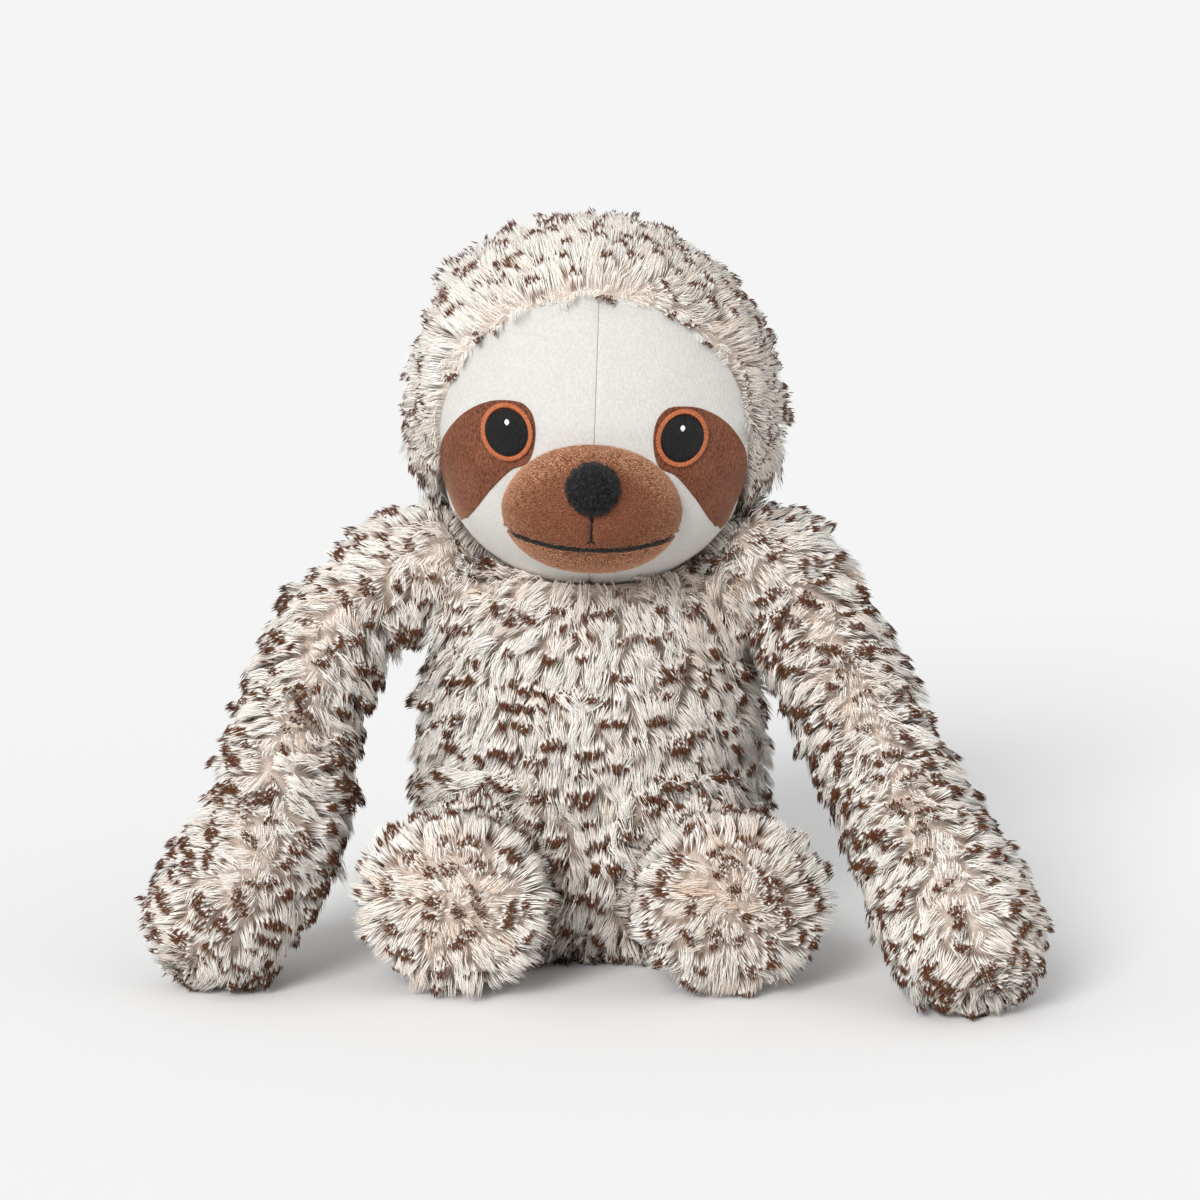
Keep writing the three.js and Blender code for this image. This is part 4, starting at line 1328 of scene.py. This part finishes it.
# Muzzle
print("muzzle")
muzzle = {
    "half": (31.8, 26, 23.4), "middle": (0, -56, 4.5), "square": 2.15, "taper": 0.14, "seed": 111,
    "mouth": -8.0, "smile": 0.0042, "mouthHalf": 27.5, "mouthEnds": 20,
    "cut": 0.15, "roll": 1.3,  # half the gap at the mouth, and how its edges are rounded, mm
    # the dimple that the thread draws in under the nose: width, depth, and its foot and top
    "tuck": (1.3, 1.1, (-9, -5), (4, 8)),
    "nose": (8.5, 6.4, 8.6), "noseRise": 9.3, "noseTilt": 26,
    "mouthThread": 0.85 * mm, "mouthLift": 0.2, "mouthLap": 0.35,
    "lineThread": 0.5 * mm, "lineLift": -0.6,
    "line": [
        ((0, 5.0), (0, 1.2)), ((0, 1.5), (0, -2.2)), ((0, -2.0), (0, -5.2)),
        ((0.1, -4.6), (3.2, -7.0)), ((-0.1, -4.6), (-3.2, -7.0)),
    ],
}
muzzleNap = {
    "length": (0.8, 1.1), "halfWidth": (0.07, 0.1), "liftAtRoot": 38, "liftAtTip": 14, "perSquareMm": 5.0,
    "lock": 2.0, "lockPull": 0.05, "lockTurn": 0.08, "lockRise": 0.03, "plain": (0.34, 0.02, 0.02),
}
noseNap = {
    "length": (1.4, 2.3), "halfWidth": (0.08, 0.14), "liftAtRoot": 70, "liftAtTip": 40, "perSquareMm": 5.0,
    "lock": 1.6, "lockPull": 0.4, "lockTurn": 0.3, "lockRise": 0.16, "plain": (0.4, 0.1, 0.14),
}


def muzzleForm():
    piece, points = ball(96, 64, True)
    power = muzzle["square"]
    square = (np.abs(points[:, 0]) ** power + np.abs(points[:, 2]) ** power) ** (1 / power)
    stretch = np.where(square > 1e-6, np.hypot(points[:, 0], points[:, 2]) / np.maximum(square, 1e-6), 1)
    form = points * np.stack([stretch, np.ones(len(points)), stretch], 1)
    form = form * muzzle["half"] + muzzle["middle"]
    form[:, 0] *= 1 - muzzle["taper"] * np.clip(points[:, 2], 0, 1)
    width, depth, foot, top = muzzle["tuck"]
    tuck = np.exp(-((form[:, 0] / width) ** 2)) * softstep(form[:, 2], *foot)
    tuck = tuck * (1 - softstep(form[:, 2], *top))
    form[:, 1] += depth * tuck * (points[:, 1] < 0)
    setPoints(piece, form * mm)
    return piece


def lipOf(upper):
    # The muzzle above or below the curved line of the mouth, closed and rolled at the cut
    piece = muzzleForm()
    smile = muzzle["smile"] / mm
    points = pointsOf(piece)
    points[:, 2] -= smile * points[:, 0] ** 2
    setPoints(piece, points)
    level = (muzzle["mouth"] + (muzzle["cut"] if upper else -muzzle["cut"])) * mm
    with editing(piece):
        bpy.ops.mesh.bisect(
            plane_co=(0, 0, level), plane_no=(0, 0, 1), use_fill=True,
            clear_inner=upper, clear_outer=not upper,
        )
        bpy.ops.mesh.bevel(offset=muzzle["roll"] * mm, segments=4, profile=0.5, affect="EDGES")
    points = pointsOf(piece)
    points[:, 2] += smile * points[:, 0] ** 2
    setPoints(piece, fromHead(points))
    return piece


def napKeep(points, normals):
    # The front of the muzzle, off the line of the mouth
    local = toHead(points) / mm
    line = np.abs(local[:, 2] - muzzle["mouth"] - muzzle["smile"] * local[:, 0] ** 2)
    return (local[:, 1] < -48) & (line > 1.0)


def napSheenAndTopLight(points):
    # Painted sheen and top light: the nap is lighter towards the muzzle's edges, most of all above
    local = (toHead(points) / mm - muzzle["middle"]) / muzzle["half"]
    edge = softstep(np.hypot(local[:, 0], local[:, 2]), 0.55, 1.0)
    return -edge * (0.28 + 0.6 * softstep(local[:, 2], -0.1, 0.9))


def napFlow(points, normals):
    local = toHead(points) / mm - muzzle["middle"]
    return (local * [1, 0, 1] + [0, 0, -0.15 * muzzle["half"][2]]) @ headTurn.T


for number, (name, slot, shade) in enumerate((("upper", "brown_plush", 0), ("lower", "tan_plush", 0.28))):
    lip = lipOf(name == "upper")
    # The nap's tone carries the painted sheen and top light at the muzzle's edges, and the lower lip's own
    # lighter tone
    growFur(
        lip, [f"muzzle_nap_{name}"], "head", napFlow, napKeep, muzzle["seed"] + number, muzzleNap,
        tan=lambda points: napSheenAndTopLight(points) - shade, finish="muzzleNap",
    )
    finishPiece(lip, f"muzzle_plush_{name}", "head", "muzzle", [f"muzzle_{name}"])


def onMuzzle(x, z, lift=0):
    # x, z and lift in mm, in the head's frame
    halfX, halfY, halfZ = muzzle["half"]
    power = muzzle["square"]
    square = (abs(x / halfX) ** power + abs((z - muzzle["middle"][2]) / halfZ) ** power) ** (1 / power)
    depth = (halfY + lift) * math.sqrt(max(0, 1 - square * square))
    return np.array([x, muzzle["middle"][1] - depth, z]) * mm


def cordStitch(start, end, radius):
    # A short stitch of thick thread between two points of the head's frame, in metres
    piece, points = ball(10, 8)
    along = (end - start) / 2
    side = unit(np.cross(along, [0, -1, 0]))
    rise = unit(np.cross(side, along))
    width = radius * (1 - np.abs(points[:, 2:3]) ** 6 * 0.5)
    girth = (points[:, 0:1] * side + points[:, 1:2] * rise) * width
    setPoints(piece, fromHead((start + end) / 2 + points[:, 2:3] * along + girth))
    return piece


mouthStitches = []
mouthX = np.linspace(-muzzle["mouthHalf"], muzzle["mouthHalf"], muzzle["mouthEnds"])
for x0, x1 in zip(mouthX - muzzle["mouthLap"], mouthX[1:] + muzzle["mouthLap"]):
    ends = [onMuzzle(x, muzzle["mouth"] + muzzle["smile"] * x * x, muzzle["mouthLift"]) for x in (x0, x1)]
    mouthStitches.append(cordStitch(*ends, muzzle["mouthThread"]))
finishThread(mouthStitches, "mouth_thread", "black", "mouth_stitch")
lineStitches = []
for line in muzzle["line"]:
    ends = [onMuzzle(x, z, muzzle["lineLift"]) for x, z in line]
    lineStitches.append(cordStitch(*ends, muzzle["lineThread"]))
finishThread(lineStitches, "philtrum_thread", "black", "philtrum_stitch")

nose, noseBall = ball(40, 28)
noseTurn = np.array(Matrix.Rotation(math.radians(-muzzle["noseTilt"]), 3, "X"))
noseMiddle = onMuzzle(0, muzzle["middle"][2] + muzzle["noseRise"])
setPoints(nose, fromHead(noseBall * muzzle["nose"] * mm @ noseTurn.T + noseMiddle))
growFur(
    nose, ["nose_nap"], "head", lambda points, normals: points - fromHead(noseMiddle) + [0, 0, -0.001],
    lambda points, normals: normals[:, 1] < 0.3, muzzle["seed"] + 2, noseNap,
    finish="noseNap",
)
finishPiece(nose, "nose_plush", "head", "black", ["nose"])


# What the covers hold
print("fillings")
fillings = {
    "torso_fill": ("torso_stuffing", "torso", "fibre", "fibre", 4 * mm, 0),
    "seat_pellets": ("pellet_bag", "torso", "bag", "bag_cloth", 2.5 * mm, 0),
    "head_fill": ("head_stuffing", "head", "fibre", "fibre", 4 * mm, 0),
    "muzzle_fill": ("muzzle_stuffing", "head", "fibre", "fibre", 2.5 * mm, 2.5 * mm),
}
for side in sides:
    body = f"leg_{side}"
    fillings[f"{body}_fill"] = (f"{body}_stuffing", body, "fibre", "fibre", 3 * mm, 1.5 * mm)
for name, (node, body, finish, slot, voxel, inset) in fillings.items():
    filling = softForm([node], voxel, inset, 4)
    finishPiece(filling, name, body, finish, [node])
seams = {"neck_tape": ("neck_seam", "neck")}
for side in sides:
    seams[f"shoulder_{side}_tape"] = (f"shoulder_{side}_seam", f"shoulder_{side}")
    seams[f"hip_{side}_tape"] = (f"hip_{side}_seam", f"hip_{side}")
for name, (node, body) in seams.items():
    tape = softForm([node], 0.9 * mm, 0, 2)
    finishPiece(tape, name, body, "tape", [node])

print("done")
